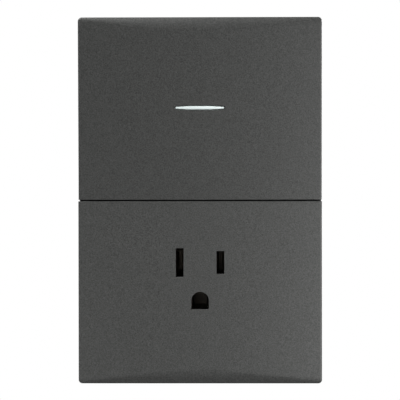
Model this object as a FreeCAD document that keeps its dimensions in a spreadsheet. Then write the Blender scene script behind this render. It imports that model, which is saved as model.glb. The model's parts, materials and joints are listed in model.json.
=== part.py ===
import FreeCAD, Part
import math
import os
import Sketcher

# Wall plate that carries a large rocker switch above a three-pin earthed outlet.
# X runs to the right, Z up, and the face looks towards -Y. The origin is the middle of the two
# box-screw holes, in the plane of the wall: what lies in the room has a negative y, what lies in
# the wall box a positive one.

# Driving sizes in millimetres, with angles in degrees
sizes = {
    # Outline of the front, which the two panels share
    "plate_width": 76.0,
    "plate_height": 114.4,
    "plate_corner": 1.2,
    "seam_gap": 0.5,
    "seam_corner": 0.3,
    "face_height": 9.6,
    "crown_rise": 1.2,
    "roll_width": 5.0,
    "roll_drop": 1.5,
    "panel_wall": 1.8,
    "skirt_wall": 1.7,
    "rim_radius": 0.35,
    # Rocker key and its hinge
    "key_lift": 1.5,
    "key_tilt": 2.5,
    "pivot_height": 4.0,
    "pin_radius": 1.5,
    "pin_length": 2.8,
    "pin_clearance": 0.05,
    "bearing_wall": 1.1,
    "bearing_width": 2.3,
    "bearing_play": 0.3,
    "bearing_throat": 1.2,
    # Indicator bar in the key
    "bar_length": 15.5,
    "bar_middle_length": 7.0,
    "bar_middle_height": 1.2,
    "bar_tip_height": 0.64,
    "bar_clearance": 0.15,
    "bar_nose": 0.2,
    "bar_offset": 0.32,
    "bar_seat": 0.08,
    "bar_flange": 0.9,
    "bar_flange_thickness": 0.7,
    # Carrier behind the key
    "carrier_width": 24.8,
    "carrier_height": 18.0,
    "carrier_plate": 1.6,
    "carrier_gap": 0.25,
    "cheek_width": 1.8,
    "catch_width": 12.0,
    "catch_wall": 1.4,
    "catch_nib": 0.5,
    "catch_play": 0.15,
    "tube_radius": 3.8,
    "tube_depth": 7.5,
    "bore_radius": 2.6,
    "bore_sink": 0.4,
    "gusset_height": 2.2,
    "gusset_thickness": 1.2,
    # Plunger and its spring
    "plunger_clearance": 0.1,
    "plunger_collar": 4.4,
    "plunger_show": 1.1,
    "plunger_stem_radius": 1.5,
    "plunger_stem_length": 2.2,
    "plunger_neck_radius": 1.9,
    "plunger_nose_radius": 1.0,
    "plunger_gap": 0.15,
    "spring_wire_radius": 0.28,
    "spring_turns": 6.0,
    "spring_play": 0.12,
    # Trim frame
    "frame_inset": 0.05,
    "frame_height": 2.6,
    "rail_rise": 2.2,
    "rail_wall": 1.2,
    "rail_play": 0.6,
    "frame_play": 0.4,
    "access_radius": 4.6,
    "frame_screw_side": 6.0,
    "frame_screw_end": 7.0,
    # Mounting strap
    "strap_side_margin": 5.0,
    "strap_end_margin": 4.2,
    "strap_thickness": 1.2,
    "strap_corner": 4.0,
    "strap_play": 0.3,
    "strap_sink": 0.08,
    "box_screw_reach": 4.55,
    "box_slot_width": 4.2,
    "box_slot_length": 7.0,
    # Modules behind the strap
    "module_reach": 8.375,
    "module_gap": 1.8,
    "ledge_thickness": 2.4,
    "ledge_reach": 4.5,
    "cup_width": 36.8,
    "cup_depth": 20.0,
    "cup_wall": 1.5,
    "cup_floor": 1.6,
    "cup_corner": 1.5,
    "cover_plate": 1.6,
    "spigot_inset": 2.2,
    "spigot_wall": 1.2,
    "boss_radius": 2.3,
    "boss_rise": 2.6,
    "module_screw_side": 2.3,
    "module_screw_inset": 3.9,
    "module_screw_radius": 1.25,
    "module_screw_head": 2.0,
    "module_screw_head_height": 1.5,
    "frame_screw_radius": 1.45,
    "frame_screw_head": 2.6,
    "frame_screw_head_height": 1.8,
    "screw_clearance": 0.1,
    "screw_slot": 0.7,
    "screw_crown_share": 0.8,
    "screw_crown_rise": 0.15,
    # Brass strips and their terminals
    "strip_thickness": 0.8,
    "strip_rest": 1.2,
    "terminal_width": 7.4,
    "terminal_reach": 12.0,
    "terminal_far_inset": 10.1,
    "terminal_near_inset": 12.1,
    "terminal_live_inset": 16.1,
    "terminal_play": 0.3,
    "terminal_screw_depth": 8.6,
    "terminal_screw_radius": 1.7,
    "terminal_screw_head": 3.3,
    "terminal_screw_head_height": 2.0,
    "terminal_screw_length": 4.6,
    "wire_gap": 0.9,
    "gate_sink": 0.25,
    "leg_inset": 4.6,
    # Contact lever and what it swings on
    "lever_depth": 13.6,
    "lever_arm": 4.8,
    "lever_width": 5.2,
    "lever_thickness": 0.9,
    "lever_tilt": 7.5,
    "knuckle_radius": 0.8,
    "knuckle_clearance": 0.06,
    "knuckle_sink": 0.35,
    "ear_gap": 0.7,
    "ear_thickness": 0.8,
    "ear_shoulder": 1.0,
    "ear_hold": 0.64,
    "rivet_radius": 1.4,
    "rivet_height": 0.8,
    "rivet_head": 0.3,
    "rivet_head_radius": 1.12,
    "rivet_shank_radius": 0.84,
    "rivet_dome": 0.1,
    "rivet_margin": 0.2,
    "contact_gap": 0.18,
    # Outlet
    "outlet_rise": 9.325,
    "blade_pitch": 12.7,
    "earth_drop": 11.85,
    "blade_slot_width": 2.36,
    "neutral_slot_height": 8.9,
    "live_slot_height": 7.1,
    "earth_hole_width": 5.4,
    "earth_hole_height": 5.4,
    "guide_clearance": 0.1,
    "guide_margin": 4.0,
    "guide_gap": 0.3,
    "contact_thickness": 0.6,
    "contact_height": 6.4,
    "contact_root": 2.3,
    "contact_pinch": 0.5,
    "contact_mouth": 1.6,
    "contact_mouth_height": 2.0,
    "contact_pinch_depth": 2.0,
    "contact_root_depth": 7.0,
    "earth_contact_height": 5.0,
    "earth_pinch": 2.0,
    "earth_root": 2.9,
    "earth_mouth": 2.9,
    "chamber_play": 0.4,
    "chamber_height": 3.4,
    "panel_catch_length": 12.0,
    "panel_catch_rise": 0.4,
}

document = FreeCAD.newDocument("wall_combination")
sheet = document.addObject("Spreadsheet::Sheet", "Sizes")
for row, (alias, number) in enumerate(sizes.items(), start=1):
    sheet.set(f"A{row}", alias)
    sheet.set(f"B{row}", str(number))
    sheet.setAlias(f"B{row}", alias)
document.recompute()


class Size:
    """A number that also knows the sheet expression it comes from."""

    def __init__(self, value, text):
        self.value = float(value)
        self.text = text

    def __add__(self, other):
        other = as_size(other)
        return Size(self.value + other.value, f"({self.text} + {other.text})")

    def __sub__(self, other):
        other = as_size(other)
        return Size(self.value - other.value, f"({self.text} - {other.text})")

    def __mul__(self, other):
        other = as_size(other)
        return Size(self.value * other.value, f"({self.text} * {other.text})")

    def __truediv__(self, other):
        other = as_size(other)
        return Size(self.value / other.value, f"({self.text} / {other.text})")

    def __radd__(self, other):
        return as_size(other) + self

    def __rsub__(self, other):
        return as_size(other) - self

    def __rmul__(self, other):
        return as_size(other) * self

    def __neg__(self):
        return Size(-self.value, f"(0 - {self.text})")

    def root(self):
        return Size(math.sqrt(self.value), f"sqrt({self.text})")

    def sine(self):
        return Size(math.sin(math.radians(self.value)), f"sin({self.text} * 1 deg)")

    def cosine(self):
        return Size(math.cos(math.radians(self.value)), f"cos({self.text} * 1 deg)")


def as_size(number):
    return number if isinstance(number, Size) else Size(number, repr(number))


def get(alias):
    return Size(sizes[alias], f"Sizes.{alias}")


# Shapes that a sketch is given. A corner is (across, up) or (across, up, bow), where bow is how far
# the side that arrives at the corner bulges to the right of the way it runs.


def outline(*corners):
    points = [(as_size(c[0]), as_size(c[1])) for c in corners]
    bows = [as_size(c[2]) if len(c) > 2 else None for c in corners]

    def draw(sketch):
        first = sketch.GeometryCount
        ends = []
        for index, start in enumerate(points):
            following = (index + 1) % len(points)
            ends.append(draw_side(sketch, start, points[following], bows[following]))
        for index, start in enumerate(points):
            here = first + index
            following = (index + 1) % len(points)
            join = (here, ends[index][1], first + following, ends[following][0])
            sketch.addConstraint(Sketcher.Constraint("Coincident", *join))
            place(sketch, here, ends[index][0], *start)

    return draw


def draw_side(sketch, start, end, bow):
    """Adds one side and returns which of its ends is its start and which is its end."""
    a = FreeCAD.Vector(start[0].value, start[1].value, 0)
    b = FreeCAD.Vector(end[0].value, end[1].value, 0)
    if bow is None:
        sketch.addGeometry(Part.LineSegment(a, b), False)
        return 1, 2
    across = end[0] - start[0]
    up = end[1] - start[1]
    chord_squared = across * across + up * up
    back = (bow * bow * 4 - chord_squared) / (bow * chord_squared.root() * 8)
    centre_across = (start[0] + end[0]) / 2 + up * back
    centre_up = (start[1] + end[1]) / 2 - across * back
    centre = FreeCAD.Vector(centre_across.value, centre_up.value, 0)
    angles = [math.atan2(p.y - centre.y, p.x - centre.x) for p in (a, b)]
    if bow.value < 0:
        angles.reverse()
    full = Part.Circle(centre, FreeCAD.Vector(0, 0, 1), a.distanceToPoint(centre))
    geometry = sketch.addGeometry(Part.ArcOfCircle(full, *angles), False)
    if abs(up.value) > abs(across.value):
        pin(sketch, "DistanceX", geometry, 3, centre_across)
    else:
        pin(sketch, "DistanceY", geometry, 3, centre_up)
    return (1, 2) if bow.value > 0 else (2, 1)


def pin(sketch, kind, geometry, end, distance):
    constraint = sketch.addConstraint(Sketcher.Constraint(kind, geometry, end, distance.value))
    sketch.setExpression(f"Constraints[{constraint}]", distance.text)


def place(sketch, geometry, end, across, up):
    """Ties a point of the sketch to its distances from the sketch's origin."""
    for kind, axis, distance in (("DistanceX", -2, across), ("DistanceY", -1, up)):
        if distance.text == "0":
            sketch.addConstraint(Sketcher.Constraint("PointOnObject", geometry, end, axis))
        else:
            pin(sketch, kind, geometry, end, distance)


def rectangle(left, right, low, high):
    return outline((left, low), (right, low), (right, high), (left, high))


def circle(across, up, radius):
    across, up, radius = as_size(across), as_size(up), as_size(radius)

    def draw(sketch):
        centre = FreeCAD.Vector(across.value, up.value, 0)
        shape = Part.Circle(centre, FreeCAD.Vector(0, 0, 1), radius.value)
        geometry = sketch.addGeometry(shape, False)
        constraint = sketch.addConstraint(Sketcher.Constraint("Radius", geometry, radius.value))
        sketch.setExpression(f"Constraints[{constraint}]", radius.text)
        place(sketch, geometry, 3, across, up)

    return draw


def upright_slot(across, up, width, length):
    """A slot with round ends that runs up and down."""
    side, reach = width / 2, (length - width) / 2
    return outline(
        (across - side, up - reach),
        (across + side, up - reach, side),
        (across + side, up + reach),
        (across - side, up + reach, side),
    )


def mirrored(corners):
    """The same corners on the other side of the sketch's upright axis, still run anticlockwise."""
    flipped = []
    for index in range(len(corners) - 1, -1, -1):
        arriving = corners[(index + 1) % len(corners)]
        flipped.append((-as_size(corners[index][0]), corners[index][1], *arriving[2:]))
    return flipped


class Piece:
    """One sub-part, drawn on its body's own origin planes and measured in the part's frame."""

    planes = {"front": "XZ_Plane", "side": "YZ_Plane", "top": "XY_Plane"}

    def __init__(self, label):
        self.body = document.addObject("PartDesign::Body", label)
        self.body.Label = label
        self.label = label
        self.count = 0

    def sketch(self, plane, position, drawings):
        """A sketch that lies across the given position on the plane's own axis."""
        self.count += 1
        name = f"{self.label}_sketch_{self.count}"
        sketch = self.body.newObject("Sketcher::SketchObject", name)
        origin = self.body.Origin.OriginFeatures
        support = [f for f in origin if f.Role == self.planes[plane]][0]
        sketch.AttachmentSupport = [(support, "")]
        sketch.MapMode = "FlatFace"
        offset = -as_size(position) if plane == "front" else as_size(position)
        sketch.setExpression("AttachmentOffset.Base.z", offset.text)
        for draw in drawings:
            draw(sketch)
        return sketch

    def feature(self, kind, sketch, length):
        feature = self.body.newObject(f"PartDesign::{kind}", f"{self.label}_{kind}_{self.count}")
        feature.Profile = sketch
        feature.setExpression("Length", length.text)
        return feature

    def add(self, plane, low, high, *drawings):
        """Pads the drawings from low to high along the axis that the plane faces."""
        start = high if plane == "front" else low
        return self.feature("Pad", self.sketch(plane, start, drawings), as_size(high) - low)

    def cut(self, plane, low, high, *drawings):
        """Pockets the drawings from low to high along the axis that the plane faces."""
        start = low if plane == "front" else high
        return self.feature("Pocket", self.sketch(plane, start, drawings), as_size(high) - low)

    def revolve(self, plane, position, axis, *drawings):
        """Turns a drawing round the sketch's own horizontal or upright axis."""
        sketch = self.sketch(plane, position, drawings)
        name = f"{self.label}_Revolution_{self.count}"
        feature = self.body.newObject("PartDesign::Revolution", name)
        feature.Profile = sketch
        feature.ReferenceAxis = (sketch, [axis])
        feature.Angle = 360
        return feature

    def edges(self, wanted):
        """Names of the edges of the body so far that answer to wanted."""
        document.recompute()
        shape = self.body.Tip.Shape
        return [f"Edge{n}" for n, edge in enumerate(shape.Edges, start=1) if wanted(edge)]

    def dress(self, kind, size_name, radius, wanted):
        edges = self.edges(wanted)
        base = self.body.Tip
        self.count += 1
        feature = self.body.newObject(f"PartDesign::{kind}", f"{self.label}_{kind}_{self.count}")
        feature.Base = (base, edges)
        feature.setExpression(size_name, as_size(radius).text)
        return feature

    def round(self, radius, wanted):
        return self.dress("Fillet", "Radius", radius, wanted)


# Ways to pick edges

straight = 0.999  # least share of an edge's direction that lies along the axis
close = 0.05  # how near a point must be to the place that it is looked for at


def runs_along(axis, *tests):
    """Straight edges along one axis whose middle passes every test."""

    def wanted(edge):
        if edge.Curve.TypeId != "Part::GeomLine":
            return False
        way = edge.tangentAt(edge.FirstParameter)
        along = abs({"x": way.x, "y": way.y, "z": way.z}[axis]) > straight
        return along and all(test(edge.CenterOfMass) for test in tests)

    return wanted


def near(axis, *places):
    """Points that lie close to one of the places on an axis."""
    values = [as_size(p).value for p in places]
    return lambda point: any(abs(getattr(point, axis) - v) < close for v in values)


def beyond(axis, place):
    value = as_size(place).value
    return lambda point: abs(getattr(point, axis)) > value


past = 1.0  # how far a cut runs past the surface it opens
quarter_bow = 1 - math.sqrt(0.5)  # bow of a quarter circle, as a share of its radius

# Places that several pieces share
half_width = get("plate_width") / 2
half_height = get("plate_height") / 2
half_seam = get("seam_gap") / 2
face = -get("face_height")
frame_front = -get("frame_height")
key_foot = frame_front - get("key_lift")
pivot_y = -get("pivot_height")
pivot_z = (half_height + half_seam) / 2
strap_front = -get("strap_thickness")
cover_front = strap_front - get("cover_plate")
strip_back = get("cup_depth") - get("cup_floor") - get("strip_rest")
strip_front = strip_back - get("strip_thickness")
cup_half = get("cup_width") / 2
module_half = cup_half + get("ledge_reach")
module_low = get("module_gap") / 2
module_high = pivot_z + get("module_reach")
module_screw_x = cup_half + get("module_screw_side")
module_screws_z = (
    module_low + get("module_screw_inset"),
    module_high - get("module_screw_inset"),
)
strap_half_width = half_width - get("strap_side_margin")
strap_half_height = half_height - get("strap_end_margin")
frame_screw_x = strap_half_width - get("frame_screw_side")
frame_screw_z = strap_half_height - get("frame_screw_end")
spigot_half = cup_half - get("strap_play") / 2
spigot_low = module_low + get("spigot_inset")
spigot_high = module_high - get("spigot_inset")
box_screw_z = module_high + get("box_screw_reach")
terminal_outer = cup_half - get("terminal_play")
terminal_inner = terminal_outer - get("strip_thickness")
terminal_front = strip_back - get("terminal_reach")
lever_y = get("lever_depth")
lever_front = lever_y - get("knuckle_sink") - get("lever_thickness")
panel_middle_z = -pivot_z
outlet_z = panel_middle_z + get("outlet_rise")
earth_z = outlet_z - get("earth_drop")
blade_x = get("blade_pitch") / 2


def inner_crown_rise(half_chord):
    """Rise of the panel's inner face, which is concentric with the outer one."""
    rise = get("crown_rise")
    outer_radius = (half_width * half_width + rise * rise) / (rise * 2)
    inner_radius = outer_radius - get("panel_wall")
    return inner_radius - (inner_radius * inner_radius - half_chord * half_chord).root()


def front_panel(label, side, foot):
    """A crowned cap with a rolled outer end. side is 1 above the seam and -1 below it."""
    piece = Piece(label)
    piece.add("front", face, foot, panel_outline(side))
    rise = get("crown_rise")
    past_side = half_width + past
    low, high = in_order(0, (half_height + past) * side)
    in_front = outline(
        (-past_side, face - past),
        (past_side, face - past),
        (past_side, face + rise),
        (half_width, face + rise),
        (-half_width, face + rise, -rise),
        (-past_side, face + rise),
    )
    piece.cut("top", low, high, in_front)
    roll_into_end(piece, side)
    return piece


def panel_outline(side):
    """Outline of a panel from the front, with its four corners rounded."""
    low_corner = get("seam_corner") if side > 0 else get("plate_corner")
    high_corner = get("plate_corner") if side > 0 else get("seam_corner")
    low, high = in_order(half_seam * side, half_height * side)
    return rounded(-half_width, half_width, low, high, low_corner, high_corner)


def rounded(left, right, low, high, low_corner, high_corner):
    """A rectangle with one radius at its two low corners and one at its two high ones."""
    low_bow = low_corner * quarter_bow
    high_bow = high_corner * quarter_bow
    return outline(
        (left + low_corner, low, low_bow),
        (right - low_corner, low),
        (right, low + low_corner, low_bow),
        (right, high - high_corner),
        (right - high_corner, high, high_bow),
        (left + high_corner, high),
        (left, high - high_corner, high_bow),
        (left, low + low_corner),
    )


def leaving_bow(run, drop):
    """Bow of an arc that leaves a level line smoothly and has fallen by drop after run."""
    chord_squared = run * run + drop * drop
    radius = chord_squared / (drop * 2)
    return radius - (radius * radius - chord_squared / 4).root()


def roll_into_end(piece, side):
    """Takes the outer end's front corner away along an arc that leaves the face smoothly."""
    width, drop = get("roll_width"), get("roll_drop")
    bow = leaving_bow(width, drop)
    corners = [
        (face - past, (half_height - width) * side),
        (face, (half_height - width) * side),
        (face + drop, half_height * side, bow * -side),
        (face + drop, (half_height + past) * side),
        (face - past, (half_height + past) * side),
    ]
    piece.cut("side", -half_width - past, half_width + past, outline(*corners))


def hollow_panel(piece, side, foot):
    """Opens the cap from behind, with walls of even thickness."""
    skirt = get("skirt_wall")
    inner_half = half_width - skirt
    ends = (half_seam + skirt, half_height - skirt)
    if side < 0:
        ends = (-ends[1], -ends[0])
    rise = inner_crown_rise(inner_half)
    ceiling = face + get("panel_wall")
    piece.cut(
        "top",
        *ends,
        outline(
            (-inner_half, ceiling + rise),
            (inner_half, ceiling + rise, rise),
            (inner_half, foot + past),
            (-inner_half, foot + past),
        ),
    )


def round_rim(piece):
    """Softens the two upright edges between the face and the sides."""
    at_sides = beyond("x", half_width - close)
    on_face = near("y", face + get("crown_rise"))
    piece.round(get("rim_radius"), runs_along("z", at_sides, on_face))


def bar_outline(clearance):
    """Long bar with a level middle and tapered ends, widened all round by clearance."""
    end = get("bar_length") / 2 + clearance
    middle = get("bar_middle_length") / 2
    tip = get("bar_tip_height") / 2 + clearance
    height = get("bar_middle_height") / 2 + clearance
    up = pivot_z + get("bar_offset")
    nose = get("bar_nose") + clearance
    return outline(
        (-end + nose, up - tip, nose),
        (-middle, up - height),
        (middle, up - height),
        (end - nose, up - tip),
        (end - nose, up + tip, nose),
        (middle, up + height),
        (-middle, up + height),
        (-end + nose, up + tip),
    )


def make_rocker_key():
    piece = front_panel("rocker_key", 1, key_foot)
    round_rim(piece)
    hollow_panel(piece, 1, key_foot)
    through = (face - past, face + get("panel_wall") + past)
    piece.cut("front", *through, bar_outline(get("bar_clearance")))
    add_catches(piece)
    return piece


carrier_front = face + get("panel_wall") + get("carrier_gap")
carrier_back = carrier_front + get("carrier_plate")
carrier_half_width = get("carrier_width") / 2
carrier_half_height = get("carrier_height") / 2


def add_catches(piece):
    """Two snap walls above and below the carrier, each with a nib that holds it to the key."""
    ceiling = face + get("panel_wall") / 2
    inner = carrier_half_height + get("catch_play")
    outer = inner + get("catch_wall")
    nib = inner - get("catch_nib") - get("catch_play")
    nib_front = carrier_back + get("catch_play")
    tip = nib_front + get("catch_nib") * 2
    for side in (1, -1):
        corners = [
            (ceiling, pivot_z + inner * side),
            (nib_front, pivot_z + inner * side),
            (nib_front, pivot_z + nib * side),
            (tip, pivot_z + inner * side),
            (tip, pivot_z + outer * side),
            (ceiling, pivot_z + outer * side),
        ]
        half = get("catch_width") / 2
        piece.add("side", -half, half, outline(*corners))


def make_indicator_bar():
    piece = Piece("indicator_bar")
    rear = face + get("panel_wall") + get("bar_seat")
    flange_back = rear + get("bar_flange_thickness")
    piece.add("front", rear, flange_back, bar_outline(get("bar_flange")))
    piece.add("front", face, rear, bar_outline(as_size(0)))
    return piece


def make_rocker_carrier():
    piece = Piece("rocker_carrier")
    low, high = pivot_z - carrier_half_height, pivot_z + carrier_half_height
    piece.add(
        "front",
        carrier_front,
        carrier_back,
        rectangle(-carrier_half_width, carrier_half_width, low, high),
    )
    cheek = get("pin_radius") + get("bearing_wall")
    for side in (1, -1):
        outer = carrier_half_width * side
        inner = (carrier_half_width - get("cheek_width")) * side
        cheek_outline = outline(
            (carrier_back, pivot_z - cheek),
            (pivot_y, pivot_z - cheek),
            (pivot_y, pivot_z + cheek, cheek),
            (carrier_back, pivot_z + cheek),
        )
        piece.add("side", *in_order(inner, outer), cheek_outline)
        pin_end = outer + get("pin_length") * side
        pin = circle(pivot_y, pivot_z, get("pin_radius"))
        piece.add("side", *in_order(outer, pin_end), pin)
        gusset = rectangle(
            *in_order(get("bore_radius") * side, inner),
            pivot_z - get("gusset_thickness") / 2,
            pivot_z + get("gusset_thickness") / 2,
        )
        piece.add("front", carrier_back, carrier_back + get("gusset_height"), gusset)
    piece.add("front", carrier_back, get("tube_depth"), circle(0, pivot_z, get("tube_radius")))
    bore_end = carrier_back - get("bore_sink")
    piece.cut("front", bore_end, get("tube_depth") + past, circle(0, pivot_z, get("bore_radius")))
    recess = face + get("panel_wall") + get("bar_flange_thickness") + get("catch_play")
    flange = bar_outline(get("bar_flange") + get("catch_play"))
    piece.cut("front", carrier_front - past, recess, flange)
    return piece


def in_order(first, second):
    return (first, second) if as_size(first).value < as_size(second).value else (second, first)


plunger_tip = lever_front - get("plunger_gap")
collar_end = get("tube_depth") + get("plunger_show")
collar_start = collar_end - get("plunger_collar")


def make_plunger():
    """Turned pin: a stem inside the spring, a collar in the bore and a round nose on the lever."""
    piece = Piece("plunger")
    stem, nose = get("plunger_stem_radius"), get("plunger_nose_radius")
    collar = get("bore_radius") - get("plunger_clearance")
    neck = get("plunger_neck_radius")
    stem_start = collar_start - get("plunger_stem_length")
    half_profile = outline(
        (plunger_tip, 0),
        (plunger_tip - nose, nose, nose * quarter_bow),
        (collar_end, neck),
        (collar_end, collar),
        (collar_start, collar),
        (collar_start, stem),
        (stem_start, stem),
        (stem_start, 0),
    )
    piece.revolve("side", 0, "H_Axis", half_profile)
    return piece


def make_spring():
    """Coil between the blind end of the bore and the plunger's collar."""
    piece = Piece("plunger_spring")
    wire = get("spring_wire_radius")
    start = carrier_back - get("bore_sink") + wire + get("spring_play")
    length = collar_start - wire - get("spring_play") - start
    coil_radius = get("bore_radius") - wire - get("spring_play")
    sketch = piece.sketch("side", 0, [circle(start, coil_radius, wire)])
    helix = piece.body.newObject("PartDesign::AdditiveHelix", "plunger_spring_helix")
    helix.Profile = sketch
    helix.ReferenceAxis = (sketch, ["H_Axis"])
    helix.Mode = "height-turns-angle"
    helix.setExpression("Height", length.text)
    helix.setExpression("Turns", get("spring_turns").text)
    return piece


def strap_outline(play):
    half_across = strap_half_width + play
    half_up = strap_half_height + play
    return rectangle(-half_across, half_across, -half_up, half_up)


frame_screw_places = [(frame_screw_x * x, frame_screw_z * z) for x in (-1, 1) for z in (-1, 1)]


def make_trim_frame():
    piece = Piece("trim_frame")
    across = half_width - get("frame_inset")
    up = half_height - get("frame_inset")
    piece.add("front", frame_front, 0, rectangle(-across, across, -up, up))
    corner = get("plate_corner") - get("frame_inset")
    piece.round(corner, runs_along("y", beyond("x", across - close)))
    outer = half_width - get("skirt_wall") - get("rail_play")
    inner = outer - get("rail_wall")
    inset = get("skirt_wall") + get("rail_play")
    rail_front = frame_front - get("rail_rise")
    for side in (1, -1):
        near_end = (half_seam + inset) * side
        far_end = (half_height - inset) * side
        near_inner = near_end + get("rail_wall") * side
        far_inner = far_end - get("rail_wall") * side
        piece.add(
            "front",
            rail_front,
            frame_front,
            rectangle(-outer, outer, *in_order(near_end, far_end)),
            rectangle(-inner, inner, *in_order(near_inner, far_inner)),
        )
    # A window for each module. The bar between them closes the seam from behind
    window_across = module_half + get("frame_play")
    window_low = half_seam + get("skirt_wall")
    window_high = module_high + get("frame_play")
    windows = [
        rectangle(-window_across, window_across, *in_order(window_low * side, window_high * side))
        for side in (1, -1)
    ]
    piece.cut("front", rail_front - past, past, *windows)
    piece.cut("front", strap_front - get("strap_sink"), past, strap_outline(get("strap_play")))
    recess_corner = strap_half_width + get("strap_play")
    piece.round(get("strap_corner"), runs_along("y", near("x", recess_corner, -recess_corner)))
    piece.cut(
        "front",
        frame_front - past,
        past,
        circle(0, box_screw_z, get("access_radius")),
        circle(0, -box_screw_z, get("access_radius")),
    )
    hole = get("frame_screw_radius") + get("screw_clearance")
    holes = [circle(x, z, hole) for x, z in frame_screw_places]
    piece.cut("front", frame_front - past, past, *holes)
    cut_catch_grooves(piece, outer)
    return piece


catch_y = frame_front - get("rail_rise") / 2


def cut_catch_grooves(piece, outer):
    """Grooves in the lower rail that the outlet panel's ridges snap into."""
    half = get("panel_catch_length") / 2 + get("catch_play")
    reach = get("panel_catch_rise") + get("catch_play")
    corners = [
        (outer + close, catch_y - reach - close),
        (outer + close, catch_y + reach + close),
        (outer - reach, catch_y),
    ]
    for points in (corners, mirrored(corners)):
        piece.cut("top", panel_middle_z - half, panel_middle_z + half, outline(*points))


def make_mounting_strap():
    """Stamped steel plate with a window for each module and a slot for each box screw."""
    piece = Piece("mounting_strap")
    piece.add("front", strap_front, 0, strap_outline(as_size(0)))
    piece.round(get("strap_corner"), runs_along("y"))
    across = spigot_half + get("strap_play")
    low, high = spigot_low - get("strap_play"), spigot_high + get("strap_play")
    piece.cut(
        "front",
        strap_front - past,
        past,
        rectangle(-across, across, low, high),
        rectangle(-across, across, -high, -low),
    )
    slots = [
        upright_slot(as_size(0), z, get("box_slot_width"), get("box_slot_length"))
        for z in (box_screw_z, -box_screw_z)
    ]
    piece.cut("front", strap_front - past, past, *slots)
    hole = get("module_screw_radius") + get("screw_clearance")
    holes = [circle(x, z, hole) for x, z in module_screw_places()]
    frame_hole = get("frame_screw_radius") + get("screw_clearance") / 2
    holes += [circle(x, z, frame_hole) for x, z in frame_screw_places]
    piece.cut("front", strap_front - past, past, *holes)
    return piece


def module_screw_places(sides=(1, -1)):
    return [
        (module_screw_x * hand, z * side)
        for side in sides
        for hand in (-1, 1)
        for z in module_screws_z
    ]


def make_module_cover(label, side):
    """Front cover of a module: a plate on the strap, a spigot in its window and screw bosses."""
    piece = Piece(label)
    play = get("frame_play")
    seam_end = half_seam + get("skirt_wall") + play
    low, high = in_order(seam_end * side, (module_high - play) * side)
    across = module_half - play
    piece.add("front", cover_front, strap_front, rectangle(-across, across, low, high))
    spigot_ends = in_order(spigot_low * side, spigot_high * side)
    wall = get("spigot_wall")
    inner_half = spigot_half - wall
    piece.add(
        "front",
        strap_front,
        0,
        rectangle(-spigot_half, spigot_half, *spigot_ends),
        rectangle(-inner_half, inner_half, spigot_ends[0] + wall, spigot_ends[1] - wall),
    )
    places = module_screw_places((side,))
    boss_front = cover_front - get("boss_rise")
    bosses = [circle(x, z, get("boss_radius")) for x, z in places]
    piece.add("front", boss_front, cover_front, *bosses)
    pilot = get("module_screw_radius") + get("screw_clearance") / 2
    pilots = [circle(x, z, pilot) for x, z in places]
    piece.cut("front", boss_front + get("cover_plate") / 2, strap_front + past, *pilots)
    return piece


def make_switch_cover():
    piece = make_module_cover("switch_cover", 1)
    wall = get("pin_radius") + get("bearing_wall")
    inner = carrier_half_width + get("bearing_play")
    outer = inner + get("bearing_width")
    for side in (1, -1):
        ear = outline(
            (cover_front, pivot_z - wall),
            (cover_front, pivot_z + wall),
            (pivot_y, pivot_z + wall),
            (pivot_y, pivot_z - wall, wall),
        )
        piece.add("side", *in_order(inner * side, outer * side), ear)
    bore = get("pin_radius") + get("pin_clearance")
    throat = get("bearing_throat")
    reach = outer + past
    piece.cut("side", -reach, reach, circle(pivot_y, pivot_z, bore))
    mouth = outline(
        (pivot_y - wall - past, pivot_z - throat),
        (pivot_y, pivot_z - throat),
        (pivot_y, pivot_z + throat),
        (pivot_y - wall - past, pivot_z + throat),
    )
    piece.cut("side", -reach, reach, mouth)
    swing = (get("tube_depth") - pivot_y) * get("key_tilt").sine()
    half = get("tube_radius") + swing + get("frame_play")
    window = rectangle(-half, half, pivot_z - half, pivot_z + half)
    slot_inner = carrier_half_width - get("cheek_width") - get("bearing_play")
    slot_half = wall + get("frame_play")
    span = (pivot_z - slot_half, pivot_z + slot_half)
    slots = [rectangle(*in_order(slot_inner * side, inner * side), *span) for side in (1, -1)]
    piece.cut("front", cover_front - past, past, window, *slots)
    return piece


def make_housing(label, side, gates):
    """Moulded cup behind the strap, with a ledge for the screws and a gate at each terminal."""
    piece = Piece(label)
    low, high = in_order(module_low * side, module_high * side)
    ledge = get("ledge_thickness")
    piece.add("front", 0, ledge, rectangle(-module_half, module_half, low, high))
    piece.add("front", ledge, get("cup_depth"), rectangle(-cup_half, cup_half, low, high))
    rear = near("y", (get("cup_depth") + ledge) / 2)
    piece.round(get("cup_corner"), runs_along("y", rear))
    back = near("y", get("cup_depth"))
    piece.round(get("cup_corner") / 2, lambda edge: back(edge.CenterOfMass))
    wall = get("cup_wall")
    floor = get("cup_depth") - get("cup_floor")
    inner_half = cup_half - wall
    piece.cut("front", -past, floor, rectangle(-inner_half, inner_half, low + wall, high - wall))
    gate_half = get("terminal_width") / 2 + get("terminal_play")
    gate_end = strip_back + get("terminal_play") / 2
    for hand, z in gates:
        sides = in_order((inner_half - get("gate_sink")) * hand, (module_half + past) * hand)
        piece.cut("front", -past, gate_end, rectangle(*sides, z - gate_half, z + gate_half))
    hole = get("module_screw_radius") + get("screw_clearance")
    holes = [circle(x, z, hole) for x, z in module_screw_places((side,))]
    piece.cut("front", -past, ledge + past, *holes)
    return piece


far_terminal_z = module_high - get("terminal_far_inset")
near_terminal_z = module_low + get("terminal_near_inset")
left_far = (-1, far_terminal_z)
left_near = (-1, near_terminal_z)
right_far = (1, far_terminal_z)
left_far_low = (-1, -far_terminal_z)
left_near_low = (-1, -near_terminal_z)
right_live = (1, -module_low - get("terminal_live_inset"))


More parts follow.
